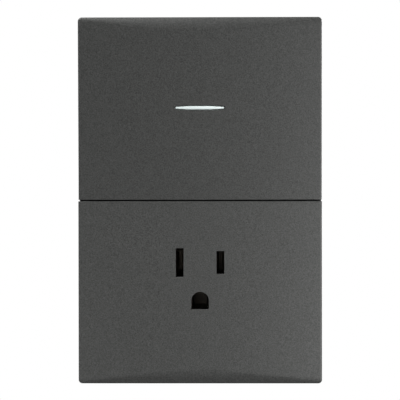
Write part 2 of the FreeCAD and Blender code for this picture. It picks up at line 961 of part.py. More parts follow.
def add_terminal(piece, hand, z, strip_low, strip_high, strip_start):
    """Flat strip from strip_start to the cup's side, and the plate that turns up there."""
    half = get("terminal_width") / 2
    corner = (terminal_outer - get("terminal_width")) * hand
    outer = terminal_outer * hand
    inner = terminal_inner * hand
    inside = (cup_half - get("cup_wall") - get("terminal_play")) * hand
    strip = (strip_front, strip_back)
    piece.add("front", *strip, rectangle(*in_order(strip_start, inside), strip_low, strip_high))
    low = strip_low if strip_low.value < (z - half).value else z - half
    high = strip_high if strip_high.value > (z + half).value else z + half
    piece.add("front", *strip, rectangle(*in_order(corner, inside), low, high))
    piece.add("front", *strip, rectangle(*in_order(corner, outer), z - half, z + half))
    plate = rectangle(*in_order(inner, outer), z - half, z + half)
    piece.add("front", terminal_front, strip_back, plate)
    hole = get("terminal_screw_radius") + get("screw_clearance") / 2
    reach = in_order(inner - past * hand, outer + past * hand)
    piece.cut("side", *reach, circle(get("terminal_screw_depth"), z, hole))


def make_common_terminal():
    """Strip with the two ears that the lever's knuckle rocks in."""
    piece = Piece("common_terminal")
    hand, z = right_far
    ear_inner = get("lever_width") / 2 + get("ear_gap")
    ear_outer = ear_inner + get("ear_thickness")
    half = get("knuckle_radius") + get("ear_shoulder")
    add_terminal(piece, hand, z, pivot_z - half, pivot_z + half, -ear_outer)
    seat = get("knuckle_radius") + get("knuckle_clearance")
    tip = lever_y - get("ear_hold")
    for side in (1, -1):
        ear = rectangle(tip, strip_back, pivot_z - half, pivot_z + half)
        piece.add("side", *in_order(ear_inner * side, ear_outer * side), ear)
    notch = outline(
        (tip - past, pivot_z - seat),
        (lever_y, pivot_z - seat),
        (lever_y, pivot_z + seat, seat),
        (tip - past, pivot_z + seat),
    )
    piece.cut("side", -ear_outer - past, ear_outer + past, notch)
    return piece


def lever_contact_reach():
    """How far behind the knuckle's axis the closed end's rivet comes."""
    tilt = get("lever_tilt")
    rivet_back = get("rivet_height") - get("knuckle_sink")
    return get("lever_arm") * tilt.sine() + rivet_back * tilt.cosine()


fixed_rivet_front = lever_y + lever_contact_reach() + get("contact_gap")


def make_fixed_terminal(label, arm_side, terminal):
    piece = Piece(label)
    hand, z = terminal
    contact_z = pivot_z + get("lever_arm") * arm_side
    half = get("rivet_radius")
    start = (get("rivet_radius") + get("ear_gap")) * -hand
    add_terminal(piece, hand, z, contact_z - half, contact_z + half, start)
    return piece


def make_lower_fixed_terminal():
    """This strip turns down to a terminal that lies further from its contact."""
    piece = Piece("lower_fixed_terminal")
    hand, z = left_near
    contact_z = pivot_z - get("lever_arm")
    half = get("rivet_radius")
    start = (get("rivet_radius") + get("ear_gap")) * -hand
    leg = get("leg_inset") * hand
    leg_end = leg - half * 2
    foot = z - half
    strip = (strip_front, strip_back)
    piece.add("front", *strip, rectangle(leg_end, start, contact_z - half, contact_z + half))
    piece.add("front", *strip, rectangle(leg_end, leg, foot, contact_z + half))
    add_terminal(piece, hand, z, foot, z + half, leg)
    return piece


def make_fixed_rivets():
    """A silver rivet on each fixed strip, with a slightly domed face."""
    return turned_group("fixed_rivets", fixed_rivet_profile, fixed_rivet_places())


def fixed_rivet_places():
    return [
        (0, fixed_rivet_front, pivot_z + get("lever_arm") * side) for side in (1, -1)
    ]


def fixed_rivet_profile():
    height = strip_front - fixed_rivet_front
    radius = get("rivet_radius")
    dome = get("rivet_dome")
    bow = leaving_bow(radius, dome)
    return outline((0, 0, bow), (height, 0), (height, radius), (dome, radius))


def lever_rivet_profile():
    """Dome behind the lever and a clenched head in front of it, as one silver piece."""
    radius = get("rivet_radius")
    shank = get("rivet_shank_radius")
    back = get("rivet_height")
    thickness = get("lever_thickness")
    head = get("rivet_head")
    head_radius = get("rivet_head_radius")
    dome = get("rivet_dome")
    return outline(
        (-thickness - head, 0),
        (back, 0),
        (back - dome, radius, leaving_bow(radius, dome)),
        (0, radius),
        (0, shank),
        (-thickness, shank),
        (-thickness, head_radius),
        (-thickness - head, head_radius),
    )


def turned_master(label, profile):
    """A turned piece about its own Y axis, at the origin, that a group is copied from."""
    piece = Piece(label)
    piece.revolve("side", 0, "H_Axis", profile())
    return piece


def turned_group(label, profile, places):
    master = turned_master(label + "_master", profile)
    return grouped(label, master, [FreeCAD.Placement(point(p), FreeCAD.Rotation()) for p in places])


def point(place):
    return FreeCAD.Vector(*[as_size(c).value for c in place])


def grouped(label, master, placements):
    """Separate copies of one master piece, kept together under one label."""
    document.recompute()
    feature = document.addObject("Part::Feature", label)
    feature.Label = label
    copies = []
    for placement in placements:
        shape = master.body.Shape.copy()
        shape.Placement = placement.multiply(shape.Placement)
        copies.append(shape)
    feature.Shape = Part.makeCompound(copies) if len(copies) > 1 else copies[0]
    return feature


def make_contact_lever():
    """Copper rocker with a knuckle across its back, pierced for a rivet at each end."""
    piece = Piece("contact_lever")
    half = get("lever_width") / 2
    reach = get("lever_arm") + get("rivet_radius") + get("rivet_margin")
    back = lever_front + get("lever_thickness")
    piece.add("side", -half, half, rectangle(lever_front, back, pivot_z - reach, pivot_z + reach))
    piece.round(get("rivet_radius"), runs_along("y"))
    knuckle_half = half + get("ear_gap") + get("ear_thickness") + get("ear_gap") / 2
    piece.add("side", -knuckle_half, knuckle_half, circle(lever_y, pivot_z, get("knuckle_radius")))
    hole = get("rivet_shank_radius")
    holes = [circle(0, pivot_z + get("lever_arm") * side, hole) for side in (1, -1)]
    piece.cut("front", lever_front - past, back + past, *holes)
    return piece


def make_lever_rivets():
    back = lever_front + get("lever_thickness")
    places = [(0, back, pivot_z + get("lever_arm") * side) for side in (1, -1)]
    return turned_group("lever_rivets", lever_rivet_profile, places)


def blade_contact_corners(centre, root, pinch, mouth, mouth_y):
    """Plan of a double-leaf spring contact on its strip, run anticlockwise, as (x, y) corners."""
    leaf = get("contact_thickness")
    pinch_y = get("contact_pinch_depth")
    root_y = get("contact_root_depth")
    return [
        (centre - mouth - leaf, mouth_y),
        (centre - mouth, mouth_y),
        (centre - pinch, pinch_y),
        (centre - root, root_y),
        (centre - root, strip_front),
        (centre + root, strip_front),
        (centre + root, root_y),
        (centre + pinch, pinch_y),
        (centre + mouth, mouth_y),
        (centre + mouth + leaf, mouth_y),
        (centre + pinch + leaf, pinch_y),
        (centre + root + leaf, root_y),
        (centre + root + leaf, strip_back),
        (centre - root - leaf, strip_back),
        (centre - root - leaf, root_y),
        (centre - pinch - leaf, pinch_y),
    ]


blade_mouth_y = -get("contact_mouth_height")
earth_mouth_y = blade_mouth_y - get("contact_thickness")


def make_blade_contact(label, terminal):
    piece = Piece(label)
    hand, z = terminal
    centre = blade_x * hand
    half = get("contact_height") / 2
    low, high = outlet_z - half, outlet_z + half
    corners = blade_contact_corners(
        centre, get("contact_root"), get("contact_pinch"), get("contact_mouth"), blade_mouth_y
    )
    piece.add("top", low, high, outline(*corners))
    add_terminal(piece, hand, z, low, high, centre)
    return piece


def make_earth_contact():
    piece = Piece("earth_contact")
    hand, z = left_far_low
    half = get("earth_contact_height") / 2
    low, high = earth_z - half, earth_z + half
    corners = blade_contact_corners(
        as_size(0), get("earth_root"), get("earth_pinch"), get("earth_mouth"), earth_mouth_y
    )
    piece.add("top", low, high, outline(*corners))
    add_terminal(piece, hand, z, low, high, as_size(0))
    return piece


def blade_slot(centre, height, clearance):
    half = get("blade_slot_width") / 2 + clearance
    up = height / 2 + clearance
    return rectangle(centre - half, centre + half, outlet_z - up, outlet_z + up)


def earth_hole(clearance):
    """Hole with a round top and a flat bottom. The pin's centre is the centre of the round."""
    half = get("earth_hole_width") / 2 + clearance
    foot = earth_z - (get("earth_hole_height") - get("earth_hole_width") / 2) - clearance
    return outline((-half, foot), (half, foot), (half, earth_z), (-half, earth_z, half))


def outlet_openings(clearance):
    return (
        blade_slot(-blade_x, get("neutral_slot_height"), clearance),
        blade_slot(blade_x, get("live_slot_height"), clearance),
        earth_hole(clearance),
    )


def make_outlet_panel():
    piece = front_panel("outlet_panel", -1, frame_front)
    round_rim(piece)
    hollow_panel(piece, -1, frame_front)
    through = (face - past, face + get("panel_wall") + past)
    piece.cut("front", *through, *outlet_openings(as_size(0)))
    add_panel_catches(piece)
    return piece


def add_panel_catches(piece):
    """Ridges inside the left and right skirts that snap into the frame's rail."""
    inner = half_width - get("skirt_wall")
    half = get("panel_catch_length") / 2
    groove_reach = get("rail_play") + get("panel_catch_rise")
    corners = [
        (inner + get("skirt_wall") / 2, catch_y - groove_reach),
        (inner + get("skirt_wall") / 2, catch_y + groove_reach),
        (inner, catch_y + groove_reach),
        (inner - groove_reach, catch_y),
        (inner, catch_y - groove_reach),
    ]
    for points in (corners, mirrored(corners)):
        piece.add("top", panel_middle_z - half, panel_middle_z + half, outline(*points))


def make_outlet_cover():
    """Module cover with the raised block that guides a plug's pins to the contacts."""
    piece = make_module_cover("outlet_cover", -1)
    ceiling = face + get("panel_wall")
    margin = get("guide_margin")
    across = blade_x + margin
    high = outlet_z + get("neutral_slot_height") / 2 + margin / 2
    low = earth_z - get("earth_hole_height") / 2 - margin / 2
    piece.add("front", ceiling + get("guide_gap"), cover_front, rectangle(-across, across, low, high))
    guide_corners = near("x", across, -across)
    piece.round(margin / 2, runs_along("y", guide_corners, near("z", low, high)))
    through = (ceiling - past, past)
    piece.cut("front", *through, *outlet_openings(get("guide_clearance")))
    chamber = get("chamber_play")
    leaf = get("contact_thickness")
    half = get("contact_mouth") + leaf + chamber
    up = get("contact_height") / 2 + chamber
    earth_half = get("earth_mouth") + leaf + chamber
    earth_up = get("earth_contact_height") / 2 + chamber
    chambers = [
        rectangle(x - half, x + half, outlet_z - up, outlet_z + up) for x in (-blade_x, blade_x)
    ]
    chambers.append(rectangle(-earth_half, earth_half, earth_z - earth_up, earth_z + earth_up))
    piece.cut("front", -get("chamber_height"), past, *chambers)
    return piece


def add_strip_rests(piece, rests):
    """Ribs on the cup's floor that the strips lie on."""
    floor = get("cup_depth") - get("cup_floor")
    for left, right, low, high in rests:
        piece.add("front", strip_back, floor, rectangle(left, right, low, high))


def make_switch_housing():
    piece = make_housing("switch_housing", 1, (left_far, left_near, right_far))
    rib = get("cup_wall")
    across = cup_half / 2
    ribs = [
        (-across - rib, -across, module_low + rib / 2, module_high - rib / 2),
        (across, across + rib, module_low + rib / 2, module_high - rib / 2),
        (-rib / 2, rib / 2, pivot_z - get("lever_arm") - rib, module_high - rib / 2),
    ]
    add_strip_rests(piece, ribs)
    return piece


def make_outlet_housing():
    piece = make_housing("outlet_housing", -1, (left_far_low, left_near_low, right_live))
    rib = get("cup_wall")
    across = cup_half / 2
    ribs = [
        (-across - rib, -across, -module_high + rib / 2, -module_low - rib / 2),
        (across, across + rib, -module_high + rib / 2, -module_low - rib / 2),
        (-rib / 2, rib / 2, -module_high + rib / 2, earth_z + get("earth_contact_height") / 2),
    ]
    add_strip_rests(piece, ribs)
    blades_low = outlet_z - get("contact_height") / 2
    earth_high = earth_z + get("earth_contact_height") / 2
    middle = (blades_low + earth_high) / 2
    floor = get("cup_depth") - get("cup_floor")
    partition = rectangle(-blade_x, blade_x, middle - rib / 2, middle + rib / 2)
    piece.add("front", get("strap_play"), floor, partition)
    return piece


def screw_profile(radius, head, head_height, length):
    """Half of a pan-head screw, as (y, z): the head's top faces +y and the shank runs to -y."""
    crown = get("screw_crown_rise")
    crown_radius = head * get("screw_crown_share")
    return lambda: outline(
        (-length, 0),
        (head_height, 0),
        (head_height - crown, crown_radius, leaving_bow(crown_radius, crown)),
        (head_height / 2, head),
        (0, head),
        (0, radius),
        (-length + radius / 2, radius),
        (-length, radius / 2),
    )


def screw_master(label, radius, head, head_height, length):
    piece = turned_master(label, screw_profile(radius, head, head_height, length))
    slot = get("screw_slot") / 2
    depth = head_height / 2
    groove = rectangle(-head - past, head + past, -slot, slot)
    piece.cut("front", head_height - depth, head_height + past, groove)
    return piece


def make_module_screws():
    length = get("ledge_thickness") - cover_front + get("boss_rise") / 2
    master = screw_master(
        "module_screw_master",
        get("module_screw_radius"),
        get("module_screw_head"),
        get("module_screw_head_height"),
        length,
    )
    placements = [
        FreeCAD.Placement(point((x, get("ledge_thickness"), z)), FreeCAD.Rotation())
        for x, z in module_screw_places()
    ]
    return grouped("module_screws", master, placements)


def make_frame_screws():
    master = screw_master(
        "frame_screw_master",
        get("frame_screw_radius"),
        get("frame_screw_head"),
        get("frame_screw_head_height"),
        get("frame_height"),
    )
    turned_round = FreeCAD.Rotation(FreeCAD.Vector(0, 0, 1), 180)
    placements = [
        FreeCAD.Placement(point((x, frame_front, z)), turned_round) for x, z in frame_screw_places
    ]
    return grouped("frame_screws", master, placements)


def make_terminal_screws():
    """Binding screws in the cup's sides. Each group is a label with its terminals."""
    master = screw_master(
        "terminal_screw_master",
        get("terminal_screw_radius"),
        get("terminal_screw_head"),
        get("terminal_screw_head_height"),
        get("terminal_screw_length"),
    )
    groups = {
        "switch_terminal_screws": (left_far, left_near, right_far),
        "live_terminal_screw": (right_live,),
        "neutral_terminal_screw": (left_near_low,),
        "earth_terminal_screw": (left_far_low,),
    }
    made = []
    for label, terminals in groups.items():
        placements = []
        for hand, z in terminals:
            x = (terminal_outer + get("wire_gap")) * hand
            turn = FreeCAD.Rotation(FreeCAD.Vector(0, 0, 1), -90 * hand)
            placements.append(FreeCAD.Placement(point((x, get("terminal_screw_depth"), z)), turn))
        made.append(grouped(label, master, placements))
    return made


def swing_about(piece, y, z, angle):
    """Turns a finished piece about an axis along X, which is where it rests."""
    centre = FreeCAD.Vector(0, as_size(y).value, as_size(z).value)
    turn = FreeCAD.Rotation(FreeCAD.Vector(1, 0, 0), angle)
    swing = FreeCAD.Placement(FreeCAD.Vector(0, 0, 0), turn, centre)
    target = piece.body if isinstance(piece, Piece) else piece
    target.Placement = swing.multiply(target.Placement)
    return piece


def seat_on_axis(piece, z):
    """Moves a piece that was turned about the origin up to the height of its own axis."""
    piece.body.Placement = FreeCAD.Placement(point((0, 0, z)), FreeCAD.Rotation())
    return piece


def build():
    fixed = [
        make_outlet_panel(),
        make_trim_frame(),
        make_mounting_strap(),
        make_switch_cover(),
        make_outlet_cover(),
        make_switch_housing(),
        make_outlet_housing(),
        make_common_terminal(),
        make_fixed_terminal("upper_fixed_terminal", 1, left_far),
        make_lower_fixed_terminal(),
        make_fixed_rivets(),
        make_blade_contact("live_contact", right_live),
        make_blade_contact("neutral_contact", left_near_low),
        make_earth_contact(),
        make_module_screws(),
        make_frame_screws(),
        *make_terminal_screws(),
    ]
    rocker = [
        make_rocker_key(),
        make_indicator_bar(),
        make_rocker_carrier(),
        seat_on_axis(make_plunger(), pivot_z),
        seat_on_axis(make_spring(), pivot_z),
    ]
    lever = [make_contact_lever(), make_lever_rivets()]
    document.recompute()
    for piece in rocker:
        swing_about(piece, pivot_y, pivot_z, sizes["key_tilt"])
    for piece in lever:
        swing_about(piece, lever_y, pivot_z, -sizes["lever_tilt"])
    document.recompute()
    return [p.body if isinstance(p, Piece) else p for p in fixed + rocker + lever]


def check(parts):
    for item in document.Objects:
        if "Invalid" in item.State or "Error" in item.State:
            raise RuntimeError(f"{item.Label} did not build: {item.State}")
    for item in parts:
        shape = item.Shape
        if shape.isNull() or not shape.isValid() or not shape.Solids:
            raise RuntimeError(f"{item.Label} has no valid solid")


def write(parts):
    os.makedirs("parts", exist_ok=True)
    for item in parts:
        item.Shape.exportStep(f"parts/{item.Label}.step")
        box = item.Shape.BoundBox
        print(
            f"{item.Label}: {len(item.Shape.Solids)} solid, {item.Shape.Volume:.1f} mm3, "
            f"x {box.XMin:.2f} {box.XMax:.2f}, y {box.YMin:.2f} {box.YMax:.2f}, "
            f"z {box.ZMin:.2f} {box.ZMax:.2f}"
        )


parts = build()
check(parts)
write(parts)
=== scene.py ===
import json
import math
import bmesh
import bpy
from mathutils import Matrix, Quaternion, Vector


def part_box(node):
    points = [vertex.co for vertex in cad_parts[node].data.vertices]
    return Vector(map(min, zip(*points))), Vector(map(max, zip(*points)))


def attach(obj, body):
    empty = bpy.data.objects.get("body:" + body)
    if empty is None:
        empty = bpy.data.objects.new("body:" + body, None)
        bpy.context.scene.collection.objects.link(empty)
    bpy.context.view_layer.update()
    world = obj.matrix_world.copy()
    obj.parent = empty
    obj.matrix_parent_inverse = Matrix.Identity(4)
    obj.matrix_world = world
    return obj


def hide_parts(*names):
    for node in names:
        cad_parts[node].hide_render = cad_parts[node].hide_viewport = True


# Wall plate with a large rocker switch above a three-pin outlet.
# The front looks towards -Y, Z is up, and every length below is in millimetres until mm turns it.

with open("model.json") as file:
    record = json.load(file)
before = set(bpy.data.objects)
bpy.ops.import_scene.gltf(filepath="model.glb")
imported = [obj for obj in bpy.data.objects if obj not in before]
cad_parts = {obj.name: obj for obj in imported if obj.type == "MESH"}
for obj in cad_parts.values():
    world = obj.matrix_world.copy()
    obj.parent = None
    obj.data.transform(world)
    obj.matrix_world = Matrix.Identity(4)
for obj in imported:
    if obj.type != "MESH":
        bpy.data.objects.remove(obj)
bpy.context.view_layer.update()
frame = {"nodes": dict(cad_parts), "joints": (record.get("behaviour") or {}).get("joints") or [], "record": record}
mm = 0.001

panelLow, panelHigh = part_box("outlet_panel")
halfWidth = panelHigh.x / mm
halfHeight = -panelLow.z / mm
seamEase = 0.07  # the broken edges make the line between the panels wider than their gap
halfSeam = -panelHigh.z / mm + seamEase
faceY = panelLow.y / mm  # front of the crown, in the middle of the plate
outletFoot = panelHigh.y / mm


def restTurn(name):
    # How a hinge's pieces are turned at rest, where the hinge is at one end of its travel.
    # Their meshes are made as in the middle of the travel, and turned when they are done
    joint = next(j for j in frame["joints"] if j["name"] == name)
    about = Matrix.Translation(joint["pos_m"])
    angle = math.radians(sum(joint["range_deg"]) / 2)
    return about @ Matrix.Rotation(angle, 4, "X") @ about.inverted()


keyTurn = restTurn("rocker_tilt")
leverTurn = restTurn("lever_tilt")
pivotZ = (halfHeight - panelHigh.z / mm) / 2
slotOfNode = {s["node"]: s["material_slot"] for s in frame["record"]["subparts"]}
bodyOfNode = {n: b for b, nodes in frame["record"]["behaviour"]["bodies"].items() for n in nodes}


# Expressions on node sockets, for materials and for Geometry Nodes alike


class Wire:
    def __init__(self, net, socket):
        self.net = net
        self.socket = socket

    def maths(self, operation, *others):
        inputs = dict(enumerate((self, *others)))
        return self.net.node("ShaderNodeMath", {"operation": operation}, inputs)

    def __add__(self, other):
        return self.maths("ADD", other)

    def __mul__(self, other):
        return self.maths("MULTIPLY", other)

    def __sub__(self, other):
        return self.maths("SUBTRACT", other)

    def __truediv__(self, other):
        return self.maths("DIVIDE", other)

    def __rsub__(self, other):
        return self.net.node("ShaderNodeMath", {"operation": "SUBTRACT"}, {0: other, 1: self})

    __radd__ = __add__
    __rmul__ = __mul__

    def between(self, low, high):  # 0 below low, 1 above high, smooth in between
        inputs = {"Value": self, "From Min": low, "From Max": high}
        settings = {"interpolation_type": "SMOOTHSTEP"}
        return self.net.node("ShaderNodeMapRange", settings, inputs)


class Net:
    # A node tree, and the one method that adds nodes to it
    def __init__(self, tree):
        self.tree = tree

    def node(self, kind, settings=None, inputs=None, output=0):
        made = self.tree.nodes.new(kind)
        for key, value in (settings or {}).items():
            setattr(made, key, value)
        for key, value in (inputs or {}).items():
            wires = value if isinstance(value, list) else [value]
            for wire in wires:
                if isinstance(wire, Wire):
                    self.tree.links.new(wire.socket, made.inputs[key])
                else:
                    made.inputs[key].default_value = wire
        return Wire(self, made.outputs[output]) if len(made.outputs) else made


class Finish(Net):
    # A material whose patterns read Object coordinates, in millimetres
    def __init__(self, name):
        self.material = bpy.data.materials.new(name)
        self.material.use_nodes = True
        self.material.node_tree.nodes.clear()
        super().__init__(self.material.node_tree)
        metres = self.node("ShaderNodeTexCoord", output="Object")
        self.place = self.scaled(metres, 1 / mm)

    def scaled(self, vector, factor):
        factors = factor if isinstance(factor, tuple) else (factor,) * 3
        return self.node("ShaderNodeVectorMath", {"operation": "MULTIPLY"}, {0: vector, 1: factors})

    def noise(self, size, detail=2.0, rough=0.5, stretch=(1, 1, 1)):
        vector = self.scaled(self.place, tuple(s / size for s in stretch))
        inputs = {"Vector": vector, "Scale": 1.0, "Detail": detail, "Roughness": rough}
        return self.node("ShaderNodeTexNoise", None, inputs, "Fac")

    def cells(self, size):
        vector = self.scaled(self.place, 1 / size)
        return self.node("ShaderNodeTexVoronoi", None, {"Vector": vector, "Scale": 1.0}, "Color")

    def lightness(self, colour):
        return self.node("ShaderNodeSeparateColor", None, {0: colour}, 0)

    def mix(self, share, first, second):
        # Sockets 6 and 7 take the colours, and output 2 gives theirs
        first, second = (c if isinstance(c, Wire) else (*c, 1) for c in (first, second))
        inputs = {0: share, 6: first, 7: second}
        return self.node("ShaderNodeMix", {"data_type": "RGBA"}, inputs, 2)

    def bump(self, height, depth):
        return self.node("ShaderNodeBump", None, {"Height": height, "Distance": depth * mm}, "Normal")

    def finish(self, **values):
        names = {
            "colour": "Base Color",
            "roughness": "Roughness",
            "metallic": "Metallic",
            "normal": "Normal",
            "specular": "Specular IOR Level",
            "subsurface": "Subsurface Weight",
            "subsurfaceRadius": "Subsurface Radius",
            "subsurfaceScale": "Subsurface Scale",
        }
        inputs = {}
        for key, value in values.items():
            colourTuple = key == "colour" and not isinstance(value, Wire)
            inputs[names[key]] = (*value, 1) if colourTuple else value
        shader = self.node("ShaderNodeBsdfPrincipled", None, inputs)
        self.node("ShaderNodeOutputMaterial", None, {"Surface": shader})
        return self.material


# Finishes

graphitePaint = {
    "dark": (0.0270, 0.0277, 0.0265),
    "light": (0.0885, 0.0905, 0.0875),
    "mottleSize": 0.4,
    "cloudSize": 2.4,
    "flakeSize": 0.2,
    "shares": (0.42, 0.5, 0.08),  # of the mottle, the flakes and the cloud in the colour
    "depth": 0.012,
    "roughness": 0.4,
    "flakeRoughness": 0.12,
    "metallic": 0.25,
    "glint": 0.45,
    "keyPaintedShade": 0.88,  # painted shade: the key's copy of the paint is darker than the outlet panel's, for its face that turns slightly down from the light above
}


def makeGraphitePaint(name, paintedShade=1.0):
    look = graphitePaint
    paint = Finish(name)
    mottle = paint.noise(look["mottleSize"], 3.0, 0.62)
    cloud = paint.noise(look["cloudSize"])
    flakes = paint.lightness(paint.cells(look["flakeSize"]))
    mottleShare, flakeShare, cloudShare = look["shares"]
    share = mottle.between(0.3, 0.7) * mottleShare + flakes * flakeShare + cloud * cloudShare
    # paintedShade darkens both colours of the paint, painted shade for a panel that gets less light
    dark, light = (tuple(c * paintedShade for c in look[k]) for k in ("dark", "light"))
    return paint.finish(
        colour=paint.mix(share, dark, light),
        roughness=flakes * look["flakeRoughness"] + look["roughness"],
        metallic=look["metallic"],
        normal=paint.bump(flakes * 0.5 + mottle * 0.5, look["depth"]),
        specular=look["glint"],
    )


barPlastic = {
    "dark": (0.73, 0.82, 0.81),
    "light": (0.8, 0.88, 0.87),
    "hazeSize": 0.8,
    "roughness": 0.28,
    "glow": 0.25,  # how much of the light goes in and comes out again
    "glowDepth": 0.4,
}


def makeBarWhite(name):
    look = barPlastic
    white = Finish(name)
    haze = white.noise(look["hazeSize"])
    return white.finish(
        colour=white.mix(haze, look["dark"], look["light"]),
        roughness=haze * 0.1 + look["roughness"],
        subsurface=look["glow"],
        subsurfaceRadius=(1.0, 1.0, 1.0),
        subsurfaceScale=look["glowDepth"] * mm,
    )


moulding = {"grainSize": 0.12, "flowSize": 7.0, "depth": 0.01, "glint": 0.5}


def makeMoulding(name, dark, light, roughness=0.5):
    # Moulded plastic: fine spark-eroded grain over the soft pattern of the melt's flow
    plastic = Finish(name)
    fine = plastic.noise(moulding["grainSize"], 2.0, 0.6)
    flow = plastic.noise(moulding["flowSize"], 3.0, 0.55)
    colour = plastic.mix(flow.between(0.35, 0.65) * 0.7 + fine * 0.3, dark, light)
    return plastic.finish(
        colour=colour,
        roughness=fine * 0.16 + flow * 0.1 + (roughness - 0.13),
        normal=plastic.bump(fine, moulding["depth"]),
        specular=moulding["glint"],
    )


rolledStrip = {
    "lineSize": 0.12,
    "lineStretch": (0.06, 1, 1),
    "lineColour": (0.88, 0.84, 0.78),
    "stainSize": 4.5,
    "depth": 0.004,
}


def makeMetal(name, dark, light, roughness=0.3):
    # Rolled strip: fine bright lines along the strip, with faint handling stains
    look = rolledStrip
    metal = Finish(name)
    lines = metal.noise(look["lineSize"], 3.0, 0.65, look["lineStretch"])
    stains = metal.noise(look["stainSize"], 4.0, 0.6)
    colour = metal.mix(stains.between(0.3, 0.75), light, dark)
    colour = metal.mix(lines * 0.35, colour, look["lineColour"])
    return metal.finish(
        colour=colour,
        roughness=lines * 0.18 + stains * 0.14 + (roughness - 0.16),
        metallic=1.0,
        normal=metal.bump(lines, look["depth"]),
    )


zincPlate = {
    "blue": (0.54, 0.57, 0.6),
    "straw": (0.64, 0.61, 0.5),
    "tintSize": 9.0,
    "spangle": (0.7, 0.72, 0.74),
    "spangleSize": 0.9,
    "lineSize": 0.1,
    "lineStretch": (1, 1, 0.08),
    "roughness": 0.22,
    "depth": 0.005,
}


def makeZinc(name):
    # Bright zinc plate with the faint blue and straw tints of its passivation
    look = zincPlate
    zinc = Finish(name)
    spangle = zinc.lightness(zinc.cells(look["spangleSize"]))
    tint = zinc.noise(look["tintSize"], 3.0)
    lines = zinc.noise(look["lineSize"], 2.0, 0.6, look["lineStretch"])
    colour = zinc.mix(tint.between(0.35, 0.65), look["blue"], look["straw"])
    colour = zinc.mix(spangle * 0.16, colour, look["spangle"])
    return zinc.finish(
        colour=colour,
        roughness=lines * 0.16 + spangle * 0.06 + look["roughness"],
        metallic=1.0,
        normal=zinc.bump(lines * 0.7 + spangle * 0.3, look["depth"]),
    )


finishes = {  # the names with an underscore are the record's material slots
    "graphite_plastic": makeGraphitePaint("graphitePaint"),
    # the key's copy of the paint is darkened, painted shade
    "graphiteKeyShaded": makeGraphitePaint("graphiteKeyPaint", graphitePaint["keyPaintedShade"]),
    "white_plastic": makeBarWhite("barWhite"),
    "black_plastic": makeMoulding("blackMoulding", (0.01, 0.01, 0.0105), (0.017, 0.0168, 0.0165)),
    # a lighter copy of the black moulding: painted light, so the deep openings read dark grey rather than black
    "coverBlack": makeMoulding("coverMoulding", (0.022, 0.022, 0.0225), (0.032, 0.0315, 0.031)),
    "grey_plastic": makeMoulding("greyMoulding", (0.15, 0.155, 0.16), (0.2, 0.2, 0.2)),
    "cream_plastic": makeMoulding("creamMoulding", (0.57, 0.545, 0.465), (0.615, 0.59, 0.51), 0.42),
    "zinc_steel": makeZinc("zincPlate"),
    "spring_steel": makeMetal("springWire", (0.42, 0.42, 0.43), (0.55, 0.55, 0.54)),
    "brass": makeMetal("brassStrip", (0.55, 0.36, 0.13), (0.78, 0.58, 0.27), 0.32),
    # tinned bronze darkened well below a bare metal's colour: painted shade for the earth contact deep in its hole
    "contactBronze": makeMetal("contactBronze", (0.2, 0.18, 0.15), (0.36, 0.32, 0.27), 0.4),
    "contactAlloy": makeMetal("contactAlloy", (0.6, 0.55, 0.47), (0.75, 0.69, 0.6), 0.35),
    "copper": makeMetal("copperStrip", (0.55, 0.24, 0.13), (0.8, 0.42, 0.27), 0.34),
    "silver": makeMetal("contactSilver", (0.62, 0.6, 0.55), (0.85, 0.84, 0.81), 0.26),
    "green_steel": makeMetal("greenScrew", (0.05, 0.2, 0.07), (0.12, 0.42, 0.15), 0.4),
}
print("finishes made:", len(finishes))


# Making pieces

edges = {
    "merge": 0.0005,  # corners of a CAD mesh that are closer than this are one
    "flat": 0.6,  # degrees up to which two faces are one
    "broken": 32,  # degrees from which a dressed piece's edges are broken and shaded sharp
    "panelSharp": 28,
    "screwSharp": 34,
    "bevelSteps": 2,
    "roundMiddle": 0.3,  # how deep the middle of a round edge lies, as a share of its radius
}
cutPast = 1.0  # how far a cutter reaches past what it cuts
quarters = ((1, 1), (-1, 1), (-1, -1), (1, -1))


def addObject(name, mesh, node=None, finish=None):
    piece = bpy.data.objects.new(name, mesh)
    bpy.context.scene.collection.objects.link(piece)
    if node:
        mesh.materials.clear()
        mesh.materials.append(finishes[finish or slotOfNode[node]])
    return piece


def toPlainMesh(piece):
    # What the modifiers make of the piece becomes its mesh
    graph = bpy.context.evaluated_depsgraph_get()
    mesh = bpy.data.meshes.new_from_object(
        piece.evaluated_get(graph), preserve_all_data_layers=True, depsgraph=graph
    )
    piece.modifiers.clear()
    piece.data = mesh
    mesh.name = piece.name


def stand(piece, *nodes):
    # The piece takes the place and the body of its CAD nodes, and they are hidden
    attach(piece, bodyOfNode[nodes[0]])
    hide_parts(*nodes)


def softenByAngle(piece, angle=edges["panelSharp"]):
    for polygon in piece.data.polygons:
        polygon.use_smooth = True
    piece.data.set_sharp_from_angle(angle=math.radians(angle))


def addBevel(piece, width):
    bevel = piece.modifiers.new("bevel", "BEVEL")
    bevel.width = width * mm
    bevel.segments = edges["bevelSteps"]
    bevel.limit_method = "ANGLE"
    bevel.angle_limit = math.radians(edges["broken"])
    bevel.use_clamp_overlap = True
    bevel.harden_normals = True


def mergedShell(node):
    # A copy of a CAD node's loose triangles, joined at their corners
    shell = bmesh.new()
    shell.from_mesh(frame["nodes"][node].data)
    bmesh.ops.remove_doubles(shell, verts=shell.verts, dist=edges["merge"] * mm)
    return shell


def toMesh(name, shell):
    mesh = bpy.data.meshes.new(name)
    shell.to_mesh(mesh)
    shell.free()
    return mesh


def dress(node, name, bevel, finish=None):
    # A merged copy of a CAD solid with its edges broken. A housing also gets baffles and marks
    shell = mergedShell(node)
    flat = math.radians(edges["flat"])
    bmesh.ops.dissolve_limit(shell, angle_limit=flat, verts=shell.verts, edges=shell.edges)
    piece = addObject(name, toMesh(name, shell), node, finish)
    isHousing = node.endswith("housing")
    if isHousing:
        addBaffles(piece, node)
    softenByAngle(piece, edges["broken"])
    addBevel(piece, bevel)
    toPlainMesh(piece)
    if isHousing:
        markBack(piece)
    stand(piece, node)


baffle = {"across": 13.6, "thickness": 0.8, "front": 0.05, "rear": 16.2, "inset": 1.0}


